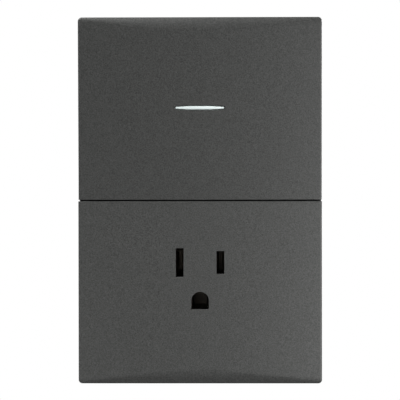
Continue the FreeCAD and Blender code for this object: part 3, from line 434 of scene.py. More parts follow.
def addBaffles(piece, node):
    # Two walls inside a housing that keep the works apart from the wires
    low, high = (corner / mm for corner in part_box(node))
    bottom, top = low.z + baffle["inset"], high.z - baffle["inset"]
    tools = []
    for side in (-1, 1):
        near, far = (side * baffle["across"] + t * baffle["thickness"] for t in (-0.5, 0.5))
        ring = [(near, bottom), (far, bottom), (far, top), (near, top)]
        tools.append(cutter("baffle", [(baffle[y], ring) for y in ("front", "rear")]))
    carve(piece, tools, "UNION")


mouldMarks = {
    "ejectorRadius": 1.7,
    "ejectorInset": 4.6,
    "ejectorSides": 32,
    "fieldSize": (17.0, 7.0),
    "fieldCorner": 1.0,
    "sink": 0.3,
    "backSlack": 0.01,  # corners this close to the rearmost plane lie on the flat back
}


def markBack(piece):
    # What the mould leaves on a housing's back: four ejector pins' marks and a blank sunk field
    corners = [Vector(corner) / mm for corner in piece.bound_box]
    low, high = (Vector([pick(c[k] for c in corners) for k in range(3)]) for pick in (min, max))
    middle = (low + high) / 2
    back = high.y
    across, up = (backHalf(piece, back, middle, k) - mouldMarks["ejectorInset"] for k in (0, 2))
    depths = (back - mouldMarks["sink"], back + cutPast)
    radius, sides = mouldMarks["ejectorRadius"], mouldMarks["ejectorSides"]
    turns = [2 * math.pi * k / sides for k in range(sides)]
    tools = []
    for i, (sx, sz) in enumerate(quarters):
        x, z = middle.x + across * sx, middle.z + up * sz
        ring = [(x + radius * math.cos(a), z + radius * math.sin(a)) for a in turns]
        tools.append(cutter("ejector" + str(i), [(y, ring) for y in depths]))
    field = roundedBox(middle.x, middle.z, *mouldMarks["fieldSize"], mouldMarks["fieldCorner"])
    tools.append(cutter("field", [(y, field) for y in depths]))
    carve(piece, tools)
    softenByAngle(piece, edges["broken"])
    piece.modifiers.new("evenNormals", "WEIGHTED_NORMAL").keep_sharp = True
    toPlainMesh(piece)


def backHalf(piece, back, middle, axis):
    # How far the flat back reaches from the middle along an axis
    near = back - mouldMarks["backSlack"]
    return max(abs(v.co[axis] / mm - middle[axis]) for v in piece.data.vertices if v.co.y / mm > near)


def roundedBox(centreX, centreZ, width, height, radius, steps=3):
    points = []
    for quarter, (sx, sz) in enumerate(quarters):
        cx = centreX + sx * (width / 2 - radius)
        cz = centreZ + sz * (height / 2 - radius)
        for i in range(steps + 1):
            angle = math.pi / 2 * (quarter + i / steps)
            points.append((cx + radius * math.cos(angle), cz + radius * math.sin(angle)))
    return points


def cutter(name, outlines):
    # A closed prism through a list of (y, outline) stations, each outline a list of (x, z)
    shell = bmesh.new()
    rings = [[shell.verts.new((x * mm, y * mm, z * mm)) for x, z in ring] for y, ring in outlines]
    count = len(rings[0])
    for near, far in zip(rings, rings[1:]):
        for i in range(count):
            j = (i + 1) % count
            shell.faces.new((near[i], near[j], far[j], far[i]))
    shell.faces.new(rings[0])
    shell.faces.new(reversed(rings[-1]))
    bmesh.ops.recalc_face_normals(shell, faces=shell.faces)
    return addObject(name, toMesh(name, shell))


def carve(piece, tools, operation="DIFFERENCE"):
    # Takes the tools away from the piece, or joins them to it, and removes them
    for tool in tools:
        modifier = piece.modifiers.new("carve", "BOOLEAN")
        modifier.operation = operation
        modifier.solver = "EXACT"
        modifier.object = tool
    toPlainMesh(piece)
    for tool in tools:
        bpy.data.objects.remove(tool)


# The two front panels

panel = {
    "crownRise": 1.2,
    "rollWidth": 5.0,
    "rollDrop": 1.5,
    "corner": 1.2,
    "seamCorner": 0.12,
    "rim": 0.35,
    "seamRim": 0.1,
    "seamRimGrowth": 0.3,
    "wall": 1.8,
    "skirt": 1.7,
    "footRound": 0.2,
    "keyLift": 1.5,  # how far the key's foot stands in front of the outlet panel's
    "creaseWidth": 1.0,  # over which the crown turns into the roll
    "creaseLead": 1.6,  # the close rows start this far before the crease
    "edgeInsets": (0.95, 0.75, 0.55, 0.43),  # rings between the face's grid and the rim
    "rimSteps": 5,
    "columns": 56,
    "faceRows": 10,
    "rollRows": 18,
    "cornerSteps": 8,
    "merge": 0.004,
}


def sphereDrop(radius, reach):
    # How far an arc of this radius falls back over a reach from its crest
    return radius - math.sqrt(max(radius * radius - reach * reach, 0))


crownRadius = (halfWidth ** 2 + panel["crownRise"] ** 2) / (2 * panel["crownRise"])
rollRadius = (panel["rollWidth"] ** 2 + panel["rollDrop"] ** 2) / (2 * panel["rollDrop"])
rollStart = halfHeight - panel["rollWidth"]


def faceDrop(x, height):
    # How far the face lies behind its highest line. height is the distance from the seam's middle
    crown = sphereDrop(crownRadius, x)
    reach = max(height - rollStart, 0)
    roll = sphereDrop(rollRadius, reach)
    width = panel["creaseWidth"]
    soft = width * reach * reach / (rollRadius * (reach + width))
    return (crown + roll + math.hypot(crown - roll, soft)) / 2


def creaseHeight(x):
    # Where the rolled end takes over from the crown
    crown = sphereDrop(crownRadius, x)
    return rollStart + math.sqrt(rollRadius ** 2 - (rollRadius - crown) ** 2)


def rimDrop(inset, height):
    # The rim is tight along the seam and grows to its full radius round the seam's corners
    share = min((height - halfSeam) / panel["seamRimGrowth"], 1)
    radius = panel["seamRim"] + (panel["rim"] - panel["seamRim"]) * share
    return sphereDrop(radius, max(radius - inset, 0))


def spread(low, high, steps):
    return [low + (high - low) * i / steps for i in range(steps + 1)]


def ringPoints(inset, columns, rows):
    # Outline moved in by inset, as (x, height), anticlockwise from the seam's left corner
    seam = max(panel["seamCorner"] - inset, 0)
    outer = max(panel["corner"] - inset, 0)
    left, right = -halfWidth + inset, halfWidth - inset
    low, high = halfSeam + inset, halfHeight - inset
    points = []

    def side(start, end, steps):
        points.extend(start.lerp(end, share) for share in steps[:-1])

    def corner(x, height, radius, startAngle):
        steps = panel["cornerSteps"]
        for i in range(steps):
            angle = startAngle + math.pi / 2 * i / steps
            points.append(Vector((x, height)) + Vector((math.cos(angle), math.sin(angle))) * radius)

    corner(left + seam, low + seam, seam, math.pi)
    side(Vector((left + seam, low)), Vector((right - seam, low)), columns)
    corner(right - seam, low + seam, seam, -math.pi / 2)
    side(Vector((right, low + seam)), Vector((right, high - outer)), rows)
    corner(right - outer, high - outer, outer, 0)
    side(Vector((right - outer, high)), Vector((left + outer, high)), columns)
    corner(left + outer, high - outer, outer, math.pi / 2)
    side(Vector((left, high - outer)), Vector((left, low + seam)), [1 - row for row in reversed(rows)])
    return points


def innerRows(x, inset):
    # Heights of the grid's rows at x: even over the face, close together over the crease and the roll
    low, high = halfSeam + inset, halfHeight - inset
    lead = min(creaseHeight(x), high) - panel["creaseLead"]
    return spread(low, lead, panel["faceRows"]) + spread(lead, high, panel["rollRows"])[1:]


def asShares(values):
    return [(v - values[0]) / (values[-1] - values[0]) for v in values]


def makePanelMesh(name, side, foot):
    # side is 1 for the panel above the seam and -1 for the one below it. The face is a grid,
    # rings of points carry it round the rim, down the wall and up inside, and a grid closes it
    shell = bmesh.new()
    inner, rim, skirt = panel["corner"], panel["rim"], panel["skirt"]
    columnShares = spread(0, 1, panel["columns"])
    rowShares = asShares(innerRows(halfWidth - inner, inner))

    def vertex(x, height, y):
        return shell.verts.new((x * mm, y * mm, height * side * mm))

    def ring(inset, y):
        points = ringPoints(inset, columnShares, rowShares)
        return [vertex(p.x, p.y, y(p.x, p.y) if callable(y) else y) for p in points]

    def join(first, second):
        for i in range(len(first)):
            j = (i + 1) % len(first)
            shell.faces.new((first[i], first[j], second[j], second[i]))

    def fill(inset, y, heights):
        rows = []
        for x in spread(-halfWidth + inset, halfWidth - inset, panel["columns"]):
            rows.append([vertex(x, h, y(x, h)) for h in heights(x)])
        for left, right in zip(rows, rows[1:]):
            for i in range(len(left) - 1):
                shell.faces.new((left[i], right[i], right[i + 1], left[i + 1]))

    def front(inset):
        return lambda x, height: faceY + faceDrop(x, height) + rimDrop(inset, height)

    def ceilingRows(x):
        low, high = halfSeam + skirt, halfHeight - skirt
        return [low + (high - low) * share for share in rowShares]

    def ceiling(x, height):
        return faceY + panel["wall"] + sphereDrop(crownRadius, x)

    fill(inner, front(inner), lambda x: innerRows(x, inner))
    insets = [inner, *panel["edgeInsets"]]
    steps = panel["rimSteps"]
    insets += [rim * (1 - math.sin(math.pi / 2 * i / steps)) for i in range(1, steps + 1)]
    rings = [ring(inset, front(inset)) for inset in insets]
    soft = panel["footRound"]
    middle = soft * edges["roundMiddle"]
    rings.append(ring(0, foot - soft))
    rings.append(ring(middle, foot - middle))
    rings.append(ring(soft, foot))
    rings.append(ring(skirt - soft, foot))
    rings.append(ring(skirt, foot - soft))
    rings.append(ring(skirt, ceiling))
    for first, second in zip(rings, rings[1:]):
        join(second, first)
    fill(skirt, ceiling, ceilingRows)
    bmesh.ops.remove_doubles(shell, verts=shell.verts, dist=panel["merge"] * mm)
    bmesh.ops.recalc_face_normals(shell, faces=shell.faces)
    return toMesh(name, shell)


def openingStations(outline, lip, mouth):
    # A cutter's stations: the opening is wider by the mouth down to the lip, and then narrows
    return [
        (faceY - cutPast, outline(mouth)),
        (faceY + lip, outline(mouth)),
        (faceY + lip + mouth, outline(0)),
        (faceY + panel["wall"] + cutPast, outline(0)),
    ]


# The white bar in the key

bar = {
    "length": 15.1,
    "middleLength": 7.0,
    "middleHeight": 1.0,
    "tipHeight": 0.5,
    "noseShare": 0.6,  # the round nose's length, as a share of half the tip's height
    "round": 0.1,
    "gap": 0.26,
    "lip": 0.02,
    "mouth": 0.1,
    "flange": 0.9,
    "flangeThickness": 0.7,
    "seat": 0.08,
    "offset": 0.32,
    "noseSteps": 8,
}


def barOutline(widen=0.0):
    # Level middle, straight tapers and blunt round tips, anticlockwise
    end = bar["length"] / 2 + widen
    middle = bar["middleLength"] / 2
    tip = bar["tipHeight"] / 2 + widen
    height = bar["middleHeight"] / 2 + widen
    nose = tip * bar["noseShare"]
    centre = pivotZ + bar["offset"]
    half = []
    for i in range(bar["noseSteps"] + 1):
        angle = -math.pi / 2 + math.pi * i / bar["noseSteps"]
        half.append((end - nose + nose * math.cos(angle), tip * math.sin(angle)))
    points = [(middle, -height), *half, (middle, height)]
    points += [(-x, z) for x, z in reversed(points)]
    return [(x, centre + z) for x, z in points]


def barHole(widen):
    return barOutline(bar["gap"] + widen)


def makeKey():
    mesh = makePanelMesh("rockerKey", 1, outletFoot - panel["keyLift"])
    # the key takes the darkened copy of the paint, painted shade
    piece = addObject("rockerKey", mesh, "rocker_key", "graphiteKeyShaded")
    carve(piece, [cutter("barCut", openingStations(barHole, bar["lip"], bar["mouth"]))])
    softenByAngle(piece)
    piece.data.transform(keyTurn)
    stand(piece, "rocker_key")


def makeBar():
    # Its front stands level with the key's face, and its flange lies behind the key's wall
    rear = faceY + panel["wall"] + bar["seat"]
    soft = bar["round"]
    middle = soft * edges["roundMiddle"]
    stations = [
        (faceY, barOutline(-soft)),
        (faceY + middle, barOutline(-middle)),
        (faceY + soft, barOutline()),
        (rear, barOutline()),
        (rear, barOutline(bar["flange"])),
        (rear + bar["flangeThickness"], barOutline(bar["flange"])),
    ]
    piece = cutter("indicatorBar", stations)
    piece.data.materials.append(finishes["white_plastic"])
    softenByAngle(piece)
    piece.data.transform(keyTurn)
    stand(piece, "indicator_bar")


# The outlet panel's openings

outlet = {
    "height": -19.4,
    "pitch": 12.7,
    "slotWidth": 2.36,
    "neutralHeight": 8.9,
    "liveHeight": 7.1,
    "earthDrop": 11.85,
    "earthWidth": 5.4,
    "earthHeight": 5.4,
    "earthSteps": 24,
    "lip": 0.05,
    "mouth": 0.1,
    "slotRound": 0.12,
}


def earthOutline(widen):
    # Level foot, upright sides and a half round top
    centre = outlet["height"] - outlet["earthDrop"]
    radius = outlet["earthWidth"] / 2 + widen
    foot = centre - (outlet["earthHeight"] - outlet["earthWidth"] / 2) - widen
    steps = outlet["earthSteps"]
    points = [(-radius, foot), (radius, foot)]
    for i in range(steps + 1):
        angle = math.pi * i / steps
        points.append((radius * math.cos(angle), centre + radius * math.sin(angle)))
    return points


def slotOutline(side, height):
    # side is -1 for the left slot and 1 for the right one
    def outline(widen):
        width = outlet["slotWidth"] + 2 * widen
        radius = outlet["slotRound"] + widen
        x = outlet["pitch"] / 2 * side
        return roundedBox(x, outlet["height"], width, height + 2 * widen, radius)

    return outline


def makeOutletPanel():
    mesh = makePanelMesh("outletPanel", -1, outletFoot)
    piece = addObject("outletPanel", mesh, "outlet_panel")
    outlines = {
        "neutralCut": slotOutline(-1, outlet["neutralHeight"]),
        "liveCut": slotOutline(1, outlet["liveHeight"]),
        "earthCut": earthOutline,
    }
    tools = []
    for name, outline in outlines.items():
        tools.append(cutter(name, openingStations(outline, outlet["lip"], outlet["mouth"])))
    carve(piece, tools)
    softenByAngle(piece)
    stand(piece, "outlet_panel")


makeKey()
makeBar()
makeOutletPanel()
print("front panels made")

# The solids that are only dressed: node, piece, width of its broken edges and any other finish

for node, name, bevel, *finish in (
    ("trim_frame", "trimFrame", 0.15),
    ("mounting_strap", "mountingStrap", 0.12),
    ("switch_cover", "switchCover", 0.1),
    # the outlet cover takes the lighter copy of the black, painted light in the openings
    ("outlet_cover", "outletCover", 0.1, "coverBlack"),
    ("switch_housing", "switchHousing", 0.2),
    ("outlet_housing", "outletHousing", 0.2),
    ("rocker_carrier", "rockerCarrier", 0.1),
    ("common_terminal", "commonTerminal", 0.06),
    ("upper_fixed_terminal", "upperFixedTerminal", 0.06),
    ("lower_fixed_terminal", "lowerFixedTerminal", 0.06),
    ("live_contact", "liveContact", 0.05, "contactAlloy"),
    ("neutral_contact", "neutralContact", 0.05, "contactAlloy"),
    # the earth contact takes the darkened contact metal, painted shade
    ("earth_contact", "earthContact", 0.05, "contactBronze"),
    ("contact_lever", "contactLever", 0.06),
    ("plunger", "plungerPin", 0.06),
):
    dress(node, name, bevel, *finish)
print("mouldings and strips dressed")

# Geometry Nodes for what repeats: screws, rivets and the spring


class Tree(Net):
    # Named sizes go in, in millimetres, and the tree ends in Realize Instances and Set Material
    def __init__(self, name, sizes):
        super().__init__(bpy.data.node_groups.new(name, "GeometryNodeTree"))
        face = self.tree.interface
        face.new_socket("Geometry", in_out="INPUT", socket_type="NodeSocketGeometry")
        for label, size in sizes.items():
            kind = "NodeSocketInt" if isinstance(size, int) else "NodeSocketFloat"
            face.new_socket(label, in_out="INPUT", socket_type=kind).default_value = size
        face.new_socket("Material", in_out="INPUT", socket_type="NodeSocketMaterial")
        face.new_socket("Geometry", in_out="OUTPUT", socket_type="NodeSocketGeometry")
        self.start = self.tree.nodes.new("NodeGroupInput")
        self.sizes = sizes

    def given(self, label):
        return Wire(self, self.start.outputs[label])

    def vector(self, x=0.0, y=0.0, z=0.0):
        return self.node("ShaderNodeCombineXYZ", None, {0: x, 1: y, 2: z})

    def rod(self, low, high, radius, sides, rows=1, rings=1):
        # Closed round bar between two heights
        inputs = {
            "Vertices": sides,
            "Side Segments": rows,
            "Fill Segments": rings,
            "Radius": radius,
            "Depth": high - low,
        }
        settings = {"fill_type": "TRIANGLE_FAN"}
        cylinder = self.node("GeometryNodeMeshCylinder", settings, inputs)
        return self.moved(cylinder, self.vector(z=(high + low) * 0.5))

    def place(self):
        # The x, y and z of each point
        spot = self.node("GeometryNodeInputPosition")
        return [self.node("ShaderNodeSeparateXYZ", None, {0: spot}, k) for k in range(3)]

    def shaped(self, shape, x, y, z):
        inputs = {"Geometry": shape, "Position": self.vector(x, y, z)}
        return self.node("GeometryNodeSetPosition", None, inputs)

    def tapered(self, shape, factor):
        # Narrows a turned shape by a factor that depends on the height
        x, y, z = self.place()
        return self.shaped(shape, x * factor, y * factor, z)

    def moved(self, shape, place):
        return self.node("GeometryNodeTransform", None, {"Geometry": shape, "Translation": place})

    def union(self, *shapes):
        inputs = {"Mesh 2": list(shapes)}
        settings = {"operation": "UNION", "solver": "EXACT"}
        return self.node("GeometryNodeMeshBoolean", settings, inputs)

    def without(self, shape, taken):
        settings = {"operation": "DIFFERENCE", "solver": "EXACT"}
        return self.node("GeometryNodeMeshBoolean", settings, {"Mesh 1": shape, "Mesh 2": taken})

    def onPoints(self, shape, spin=None):
        # One copy for each vertex of the piece, with its Z axis along the vertex's own way
        settings = {"data_type": "FLOAT_VECTOR"}
        way = self.node("GeometryNodeInputNamedAttribute", settings, {"Name": "way"})
        turn = self.node("FunctionNodeAlignRotationToVector", {"axis": "Z"}, {"Vector": way})
        if spin:
            about = self.node("FunctionNodeAxisAngleToRotation", None, {"Angle": spin})
            inputs = {"Rotation": turn, "Rotate By": about}
            turn = self.node("FunctionNodeRotateRotation", {"rotation_space": "LOCAL"}, inputs)
        inputs = {
            "Points": self.given("Geometry"),
            "Instance": shape,
            "Rotation": turn,
            "Scale": (mm, mm, mm),
        }
        return self.node("GeometryNodeInstanceOnPoints", None, inputs)

    def close(self, shape):
        real = self.node("GeometryNodeRealizeInstances", None, {"Geometry": shape})
        inputs = {"Geometry": real, "Material": self.given("Material")}
        dressed = self.node("GeometryNodeSetMaterial", None, inputs)
        self.node("NodeGroupOutput", None, {"Geometry": dressed})
        return self

    def growOn(self, piece, sizes, material):
        # Inputs are set by the sockets' identifiers before the piece is first evaluated
        modifier = piece.modifiers.new("growth", "NODES")
        modifier.node_group = self.tree
        values = {**self.sizes, **sizes, "Material": material}
        for item in self.tree.interface.items_tree:
            if item.in_out == "INPUT" and item.name in values:
                modifier[item.identifier] = values[item.name]
        toPlainMesh(piece)


screw = {
    "sides": 40,
    "headRows": 12,
    "headRings": 3,
    "shankSides": 24,
    "shankRows": 110,
    "shoulder": 0.5,  # share of the head's height at which its crown starts
    "crown": 0.72,
    "underCut": 0.05,
    "underShare": 16,  # the undercut takes up one part in this many of the head's height
    "root": 0.2,  # share of the head's height that the shank reaches into it
    "point": 0.35,
    "pointSlope": 1.6,
    "pitch": 0.5,
    "threadDepth": 0.16,
    "slotWidth": 0.7,
    "slotDepth": 0.8,
    "seed": 11,
}


def makeScrewTree():
    sizes = {
        "Head Radius": 2.0,
        "Head Height": 1.5,
        "Shank Radius": 1.25,
        "Length": 6.5,
        "Pitch": screw["pitch"],
        "Thread Depth": screw["threadDepth"],
        "Slot Width": screw["slotWidth"],
        "Slot Depth": screw["slotDepth"],
        "Seed": screw["seed"],
    }
    tree = Tree("panHeadScrew", sizes)
    radius, height = tree.given("Head Radius"), tree.given("Head Height")
    shank, length = tree.given("Shank Radius"), tree.given("Length")
    depth, pitch = tree.given("Thread Depth"), tree.given("Pitch")
    head = tree.rod(0.0, height, radius, screw["sides"], screw["headRows"], screw["headRings"])
    share = tree.place()[2] / height
    crown = ((share - screw["shoulder"]) / (1 - screw["shoulder"])).maths("MAXIMUM", 0.0)
    under = (1 - share * screw["underShare"]).maths("MAXIMUM", 0.0)
    width = 1 - crown * crown * screw["crown"] - under * screw["underCut"]
    head = tree.tapered(head, width.maths("POWER", 0.5))
    size = tree.vector(radius * 3, tree.given("Slot Width"), tree.given("Slot Depth") * 2)
    block = tree.node("GeometryNodeMeshCube", None, {"Size": size})
    block = tree.moved(block, tree.vector(z=height))
    # The shank's rings swell and shrink along its height, which cuts a thread of one start
    root = height * screw["root"]
    stem = tree.rod(length * -1, root, shank, screw["shankSides"], screw["shankRows"])
    x, y, z = tree.place()
    turned = y.maths("ARCTAN2", x) / (2 * math.pi)
    phase = (z / pitch - turned).maths("FRACT")
    groove = (phase * 2 - 1).maths("ABSOLUTE") * depth / shank
    grooved = (z * -1 / pitch).maths("MINIMUM", 1.0).maths("MAXIMUM", 0.0)
    point = ((z + length) / shank * screw["pointSlope"]).maths("MINIMUM", 1.0)
    point = point * screw["point"] + (1 - screw["point"])
    stem = tree.tapered(stem, (1 - groove * grooved) * point)
    whole = tree.without(tree.union(head, stem), block)
    # Sockets 2 and 3 take the lowest and the highest number, and output 1 gives one between them
    inputs = {2: 0.0, 3: math.pi, "Seed": tree.given("Seed")}
    spin = tree.node("FunctionNodeRandomValue", {"data_type": "FLOAT"}, inputs, 1)
    return tree.close(tree.onPoints(whole, spin))


rivet = {
    "sides": 32,
    "headRows": 2,
    "headRings": 6,
    "dome": 0.1,
    "topShare": 0.99,  # share of the head's height above which a point is on its top
    "shankRadius": 0.84,
    "leverThickness": 0.9,
    "clench": 0.3,
    "clenchRadius": 1.12,
}


def makeRivetTree():
    sizes = {
        "Radius": 1.4,
        "Height": 0.8,
        "Dome": rivet["dome"],
        "Shank Radius": rivet["shankRadius"],
        "Shank Length": rivet["leverThickness"],
        "Clench": rivet["clench"],
        "Clench Radius": rivet["clenchRadius"],
    }
    tree = Tree("contactRivet", sizes)
    radius, height, dome = (tree.given(k) for k in ("Radius", "Height", "Dome"))
    shank, reach = tree.given("Shank Radius"), tree.given("Shank Length")
    clench, clenchRadius = tree.given("Clench"), tree.given("Clench Radius")
    # The head's flat top is raised to a shallow dome
    shoulder = height - dome
    head = tree.rod(0.0, shoulder, radius, rivet["sides"], rivet["headRows"], rivet["headRings"])
    x, y, z = tree.place()
    onTop = (z / shoulder).maths("GREATER_THAN", rivet["topShare"])
    away = (x * x + y * y) / (radius * radius)
    head = tree.shaped(head, x, y, z + dome * (1 - away) * onTop)
    back = reach * -1
    stem = tree.rod(back - clench * 0.5, height * 0.5, shank, rivet["sides"])
    closing = tree.rod(back - clench, back, clenchRadius, rivet["sides"])
    whole = tree.union(head, stem, closing)
    # A rivet whose shank has no length is a plain head
    inputs = {"Switch": reach, "False": head, "True": whole}
    chosen = tree.node("GeometryNodeSwitch", {"input_type": "GEOMETRY"}, inputs)
    return tree.close(tree.onPoints(chosen))


spring = {"wire": 0.28, "wireSides": 12, "turns": 6.0, "steps": 26, "deadTurns": 0.9}


def makeSpringTree():
    sizes = {
        "Coil Radius": 2.2,
        "Wire Radius": spring["wire"],
        "Height": 8.0,
        "Turns": spring["turns"],
        "Dead Turns": spring["deadTurns"],
    }
    tree = Tree("coilSpring", sizes)
    turns, height = tree.given("Turns"), tree.given("Height")
    inputs = {
        "Resolution": spring["steps"],
        "Rotations": turns,
        "Start Radius": tree.given("Coil Radius"),
        "End Radius": tree.given("Coil Radius"),
        "Height": height,
    }
    helix = tree.node("GeometryNodeCurveSpiral", None, inputs)
    # The helix is squeezed at either end, so that the dead turns lie on one another
    along = tree.node("GeometryNodeSplineParameter")
    share = tree.given("Dead Turns") / turns
    squeezed = (along - share) / (1 - share * 2)
    squeezed = squeezed.maths("MINIMUM", 1.0).maths("MAXIMUM", 0.0)
    closed = tree.given("Wire Radius") * tree.given("Dead Turns") * 2
    ends = (along / share).maths("MINIMUM", 1.0) - ((1 - along) / share).maths("MINIMUM", 1.0) + 1
    rise = closed * ends + (height - closed * 2) * squeezed
    x, y = tree.place()[:2]
    helix = tree.shaped(helix, x, y, rise)
    inputs = {"Resolution": spring["wireSides"], "Radius": tree.given("Wire Radius")}
    wire = tree.node("GeometryNodeCurvePrimitiveCircle", None, inputs)
    inputs = {"Curve": helix, "Profile Curve": wire, "Fill Caps": True}
    return tree.close(tree.onPoints(tree.node("GeometryNodeCurveToMesh", None, inputs)))


def islands(node, turn):
    # Boxes of a node's separate solids, with the turn at rest taken back
    shell = mergedShell(node)
    shell.transform(turn.inverted())
    boxes = []
    left = set(shell.verts)
    while left:
        ripe = [left.pop()]
        found = list(ripe)
        while ripe:
            for edge in ripe.pop().link_edges:
                for vert in edge.verts:
                    if vert in left:
                        left.remove(vert)
                        ripe.append(vert)
                        found.append(vert)
        low = Vector([min(v.co[k] for v in found) for k in range(3)])
        high = Vector([max(v.co[k] for v in found) for k in range(3)])
        boxes.append((low, high))
    shell.free()
    return sorted(boxes, key=lambda box: tuple(round(c, 5) for c in box[0]))


def growAt(node, name, tree, sizes, places, turn=Matrix()):
    # Grows the tree at each place, a pair of a point and the way its top faces
    mesh = bpy.data.meshes.new(name)
    mesh.from_pydata([place for place, way in places], [], [])
    ways = mesh.attributes.new("way", "FLOAT_VECTOR", "POINT")
    for item, (place, way) in zip(ways.data, places):
        item.vector = way
    piece = addObject(name, mesh)
    tree.growOn(piece, sizes, finishes[slotOfNode[node]])
    piece.data.transform(turn)
    softenByAngle(piece, edges["screwSharp"])
    stand(piece, node)


screwKinds = {  # the head's height and the shank's radius
    "module": (1.5, 1.25),
    "frame": (1.8, 1.45),
    "terminal": (2.0, 1.7),
}


def growScrews(node, name, tree, way, kind):
    # A screw for each of the node's solids. Its head's top faces way, or the other way on the left
    way = Vector(way)
    headHeight, shankRadius = screwKinds[kind]
    axis = max(range(3), key=lambda k: abs(way[k]))
    across = (axis + 1) % 3
    places = []
    for low, high in islands(node, Matrix()):
        middle = (low + high) / 2
        facing = -way if axis == 0 and middle.x < 0 else way
        reach = (high[axis] - low[axis]) / 2 - headHeight * mm
        places.append((middle + facing * reach, facing))
    size = high - low  # the screws of a node are alike
    sizes = {
        "Head Radius": size[across] / 2 / mm,
        "Head Height": headHeight,
        "Shank Radius": shankRadius,
        "Length": size[axis] / mm - headHeight,
    }
    growAt(node, name, tree, sizes, places)


screwTree = makeScrewTree()
for node, name, way, kind in (
    ("module_screws", "moduleScrews", (0, 1, 0), "module"),
    ("frame_screws", "frameScrews", (0, -1, 0), "frame"),
    ("switch_terminal_screws", "switchTerminalScrews", (1, 0, 0), "terminal"),
    ("live_terminal_screw", "liveTerminalScrew", (1, 0, 0), "terminal"),
    ("neutral_terminal_screw", "neutralTerminalScrew", (1, 0, 0), "terminal"),
    ("earth_terminal_screw", "earthTerminalScrew", (1, 0, 0), "terminal"),
):
    growScrews(node, name, screwTree, way, kind)
print("screws grown")


def growRivets(node, name, tree, way, turn, thickness):
    # thickness is that of the strip that the rivets are clenched through, or 0
    boxes = islands(node, turn)
    low, high = boxes[0]
    clench = rivet["clench"] * mm if thickness else 0
    height = high.y - low.y - thickness * mm - clench
    foot = high.y - height if way > 0 else high.y
    places = [(((a.x + b.x) / 2, foot, (a.z + b.z) / 2), (0, way, 0)) for a, b in boxes]
    sizes = {
        "Radius": (high.x - low.x) / 2 / mm,
        "Height": height / mm,
        "Shank Length": float(thickness),
    }
    growAt(node, name, tree, sizes, places, turn)


def growSpring(node, name, tree, turn):
    # One spring between the ends of the solid, along Y
    boxes = islands(node, turn)
    low = Vector([min(box[0][k] for box in boxes) for k in range(3)])
    high = Vector([max(box[1][k] for box in boxes) for k in range(3)])
    wire = spring["wire"]
    place = ((low.x + high.x) / 2, low.y + wire * mm, (low.z + high.z) / 2)
    sizes = {
        "Coil Radius": (high.x - low.x) / 2 / mm - wire,
        "Height": (high.y - low.y) / mm - wire * 2,
    }
    growAt(node, name, tree, sizes, [(place, (0, 1, 0))], turn)


rivetTree = makeRivetTree()
growRivets("lever_rivets", "leverRivets", rivetTree, 1, leverTurn, rivet["leverThickness"])
growRivets("fixed_rivets", "fixedRivets", rivetTree, -1, Matrix(), 0)
growSpring("plunger_spring", "plungerSpring", makeSpringTree(), keyTurn)
print("rivets and spring grown")

# The solids themselves get the finishes of their material slots

for node, solid in frame["nodes"].items():
    solid.data.materials.clear()
    solid.data.materials.append(finishes[slotOfNode[node]])

# Floor, light and camera

studio = {
    "floorZ": -90.0,
    "floorRadius": 210.0,
    "floorSides": 96,
    "floorColours": ((0.8, 0.8, 0.79), (0.84, 0.84, 0.83)),
    "eye": (12.8, -708.1, 7.3),
    "aim": (0.01, -8.5, 0.09),
    "roll": -0.081,
    "sensor": 36.0,
    "lens": 202.0,
    "room": 0.06,
}
lamps = {  # place and size in metres, power in watts
    "softboxTop": {"place": (-0.25, -0.1, 0.45), "size": (0.3, 0.15), "power": 3.65},
    "softboxTopRight": {"place": (0.3, -0.1, 0.45), "size": (0.2, 0.15), "power": 0.7},
    "stripRight": {"place": (0.3, -0.5, 0.0), "size": (0.1, 0.4), "power": 1.0},
    "nearRight": {"place": (0.25, -0.35, -0.1), "size": (0.1, 0.1), "power": 0.93},
    "nearLeft": {"place": (-0.2, -0.3, -0.15), "size": (0.1, 0.1), "power": 0.25},
    "fromBelow": {"place": (0.0, -0.2, -0.42), "size": (0.5, 0.2), "power": 0.09},
    "softboxRear": {"place": (0.6, 0.9, 0.25), "size": (0.8, 0.6), "power": 13.0},
    "softboxRearLeft": {"place": (-0.8, 0.6, 0.1), "size": (0.5, 0.8), "power": 5.0},
}


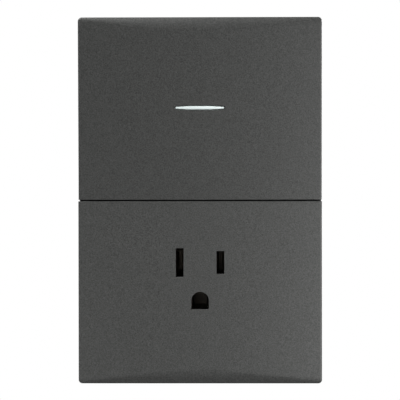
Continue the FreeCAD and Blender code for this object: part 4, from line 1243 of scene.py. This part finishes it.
def makeFloor():
    shell = bmesh.new()
    radius, sides = studio["floorRadius"] * mm, studio["floorSides"]
    bmesh.ops.create_circle(shell, cap_ends=True, radius=radius, segments=sides)
    mesh = toMesh("floor", shell)
    mesh.transform(Matrix.Translation((0, 0, studio["floorZ"] * mm)))
    floor = addObject("floor", mesh)
    paper = Finish("floorPaper")
    fibre = paper.noise(0.6, 3.0, 0.6)
    colour = paper.mix(fibre, *studio["floorColours"])
    mesh.materials.append(paper.finish(colour=colour, roughness=0.9, normal=paper.bump(fibre, 0.02)))
    floor.visible_diffuse = False  # it throws no light up on the plate's lower end
    floor.visible_glossy = False
    floor.visible_shadow = False


def makeWorld():
    # White behind the object, and a dim room for its light and reflections
    world = bpy.data.worlds.new("studioWorld")
    bpy.context.scene.world = world
    world.use_nodes = True
    world.node_tree.nodes.clear()
    net = Net(world.node_tree)
    seen = net.node("ShaderNodeLightPath", output="Is Camera Ray")
    backdrop = net.node("ShaderNodeBackground", None, {"Color": (1, 1, 1, 1), "Strength": 1.0})
    room = net.node("ShaderNodeBackground", None, {"Color": (1, 1, 1, 1), "Strength": studio["room"]})
    mixed = net.node("ShaderNodeMixShader", None, {0: seen, 1: room, 2: backdrop})
    net.node("ShaderNodeOutputWorld", None, {"Surface": mixed})


def makeLamp(name, setup):
    light = bpy.data.lights.new(name, "AREA")
    light.shape = "RECTANGLE"
    light.size, light.size_y = setup["size"]
    light.energy = setup["power"]
    lamp = bpy.data.objects.new(name, light)
    bpy.context.scene.collection.objects.link(lamp)
    lamp.location = setup["place"]
    lamp.rotation_euler = (-Vector(setup["place"])).to_track_quat("-Z", "Y").to_euler()


def makeCamera():
    lens = bpy.data.cameras.new("camera")
    camera = bpy.data.objects.new("camera", lens)
    bpy.context.scene.collection.objects.link(camera)
    lens.sensor_width = studio["sensor"]
    lens.lens = studio["lens"]
    lens.clip_start, lens.clip_end = 0.01, 10
    eye, aim = (Vector(studio[k]) * mm for k in ("eye", "aim"))
    look = (aim - eye).to_track_quat("-Z", "Y")
    camera.location = eye
    camera.rotation_euler = (look @ Quaternion((0, 0, 1), math.radians(studio["roll"]))).to_euler()
    bpy.context.scene.camera = camera


makeFloor()
makeWorld()
for lampName, setup in lamps.items():
    makeLamp(lampName, setup)
makeCamera()
bpy.context.scene.view_settings.view_transform = "Standard"
print("studio made")

bpy.context.view_layer.update()
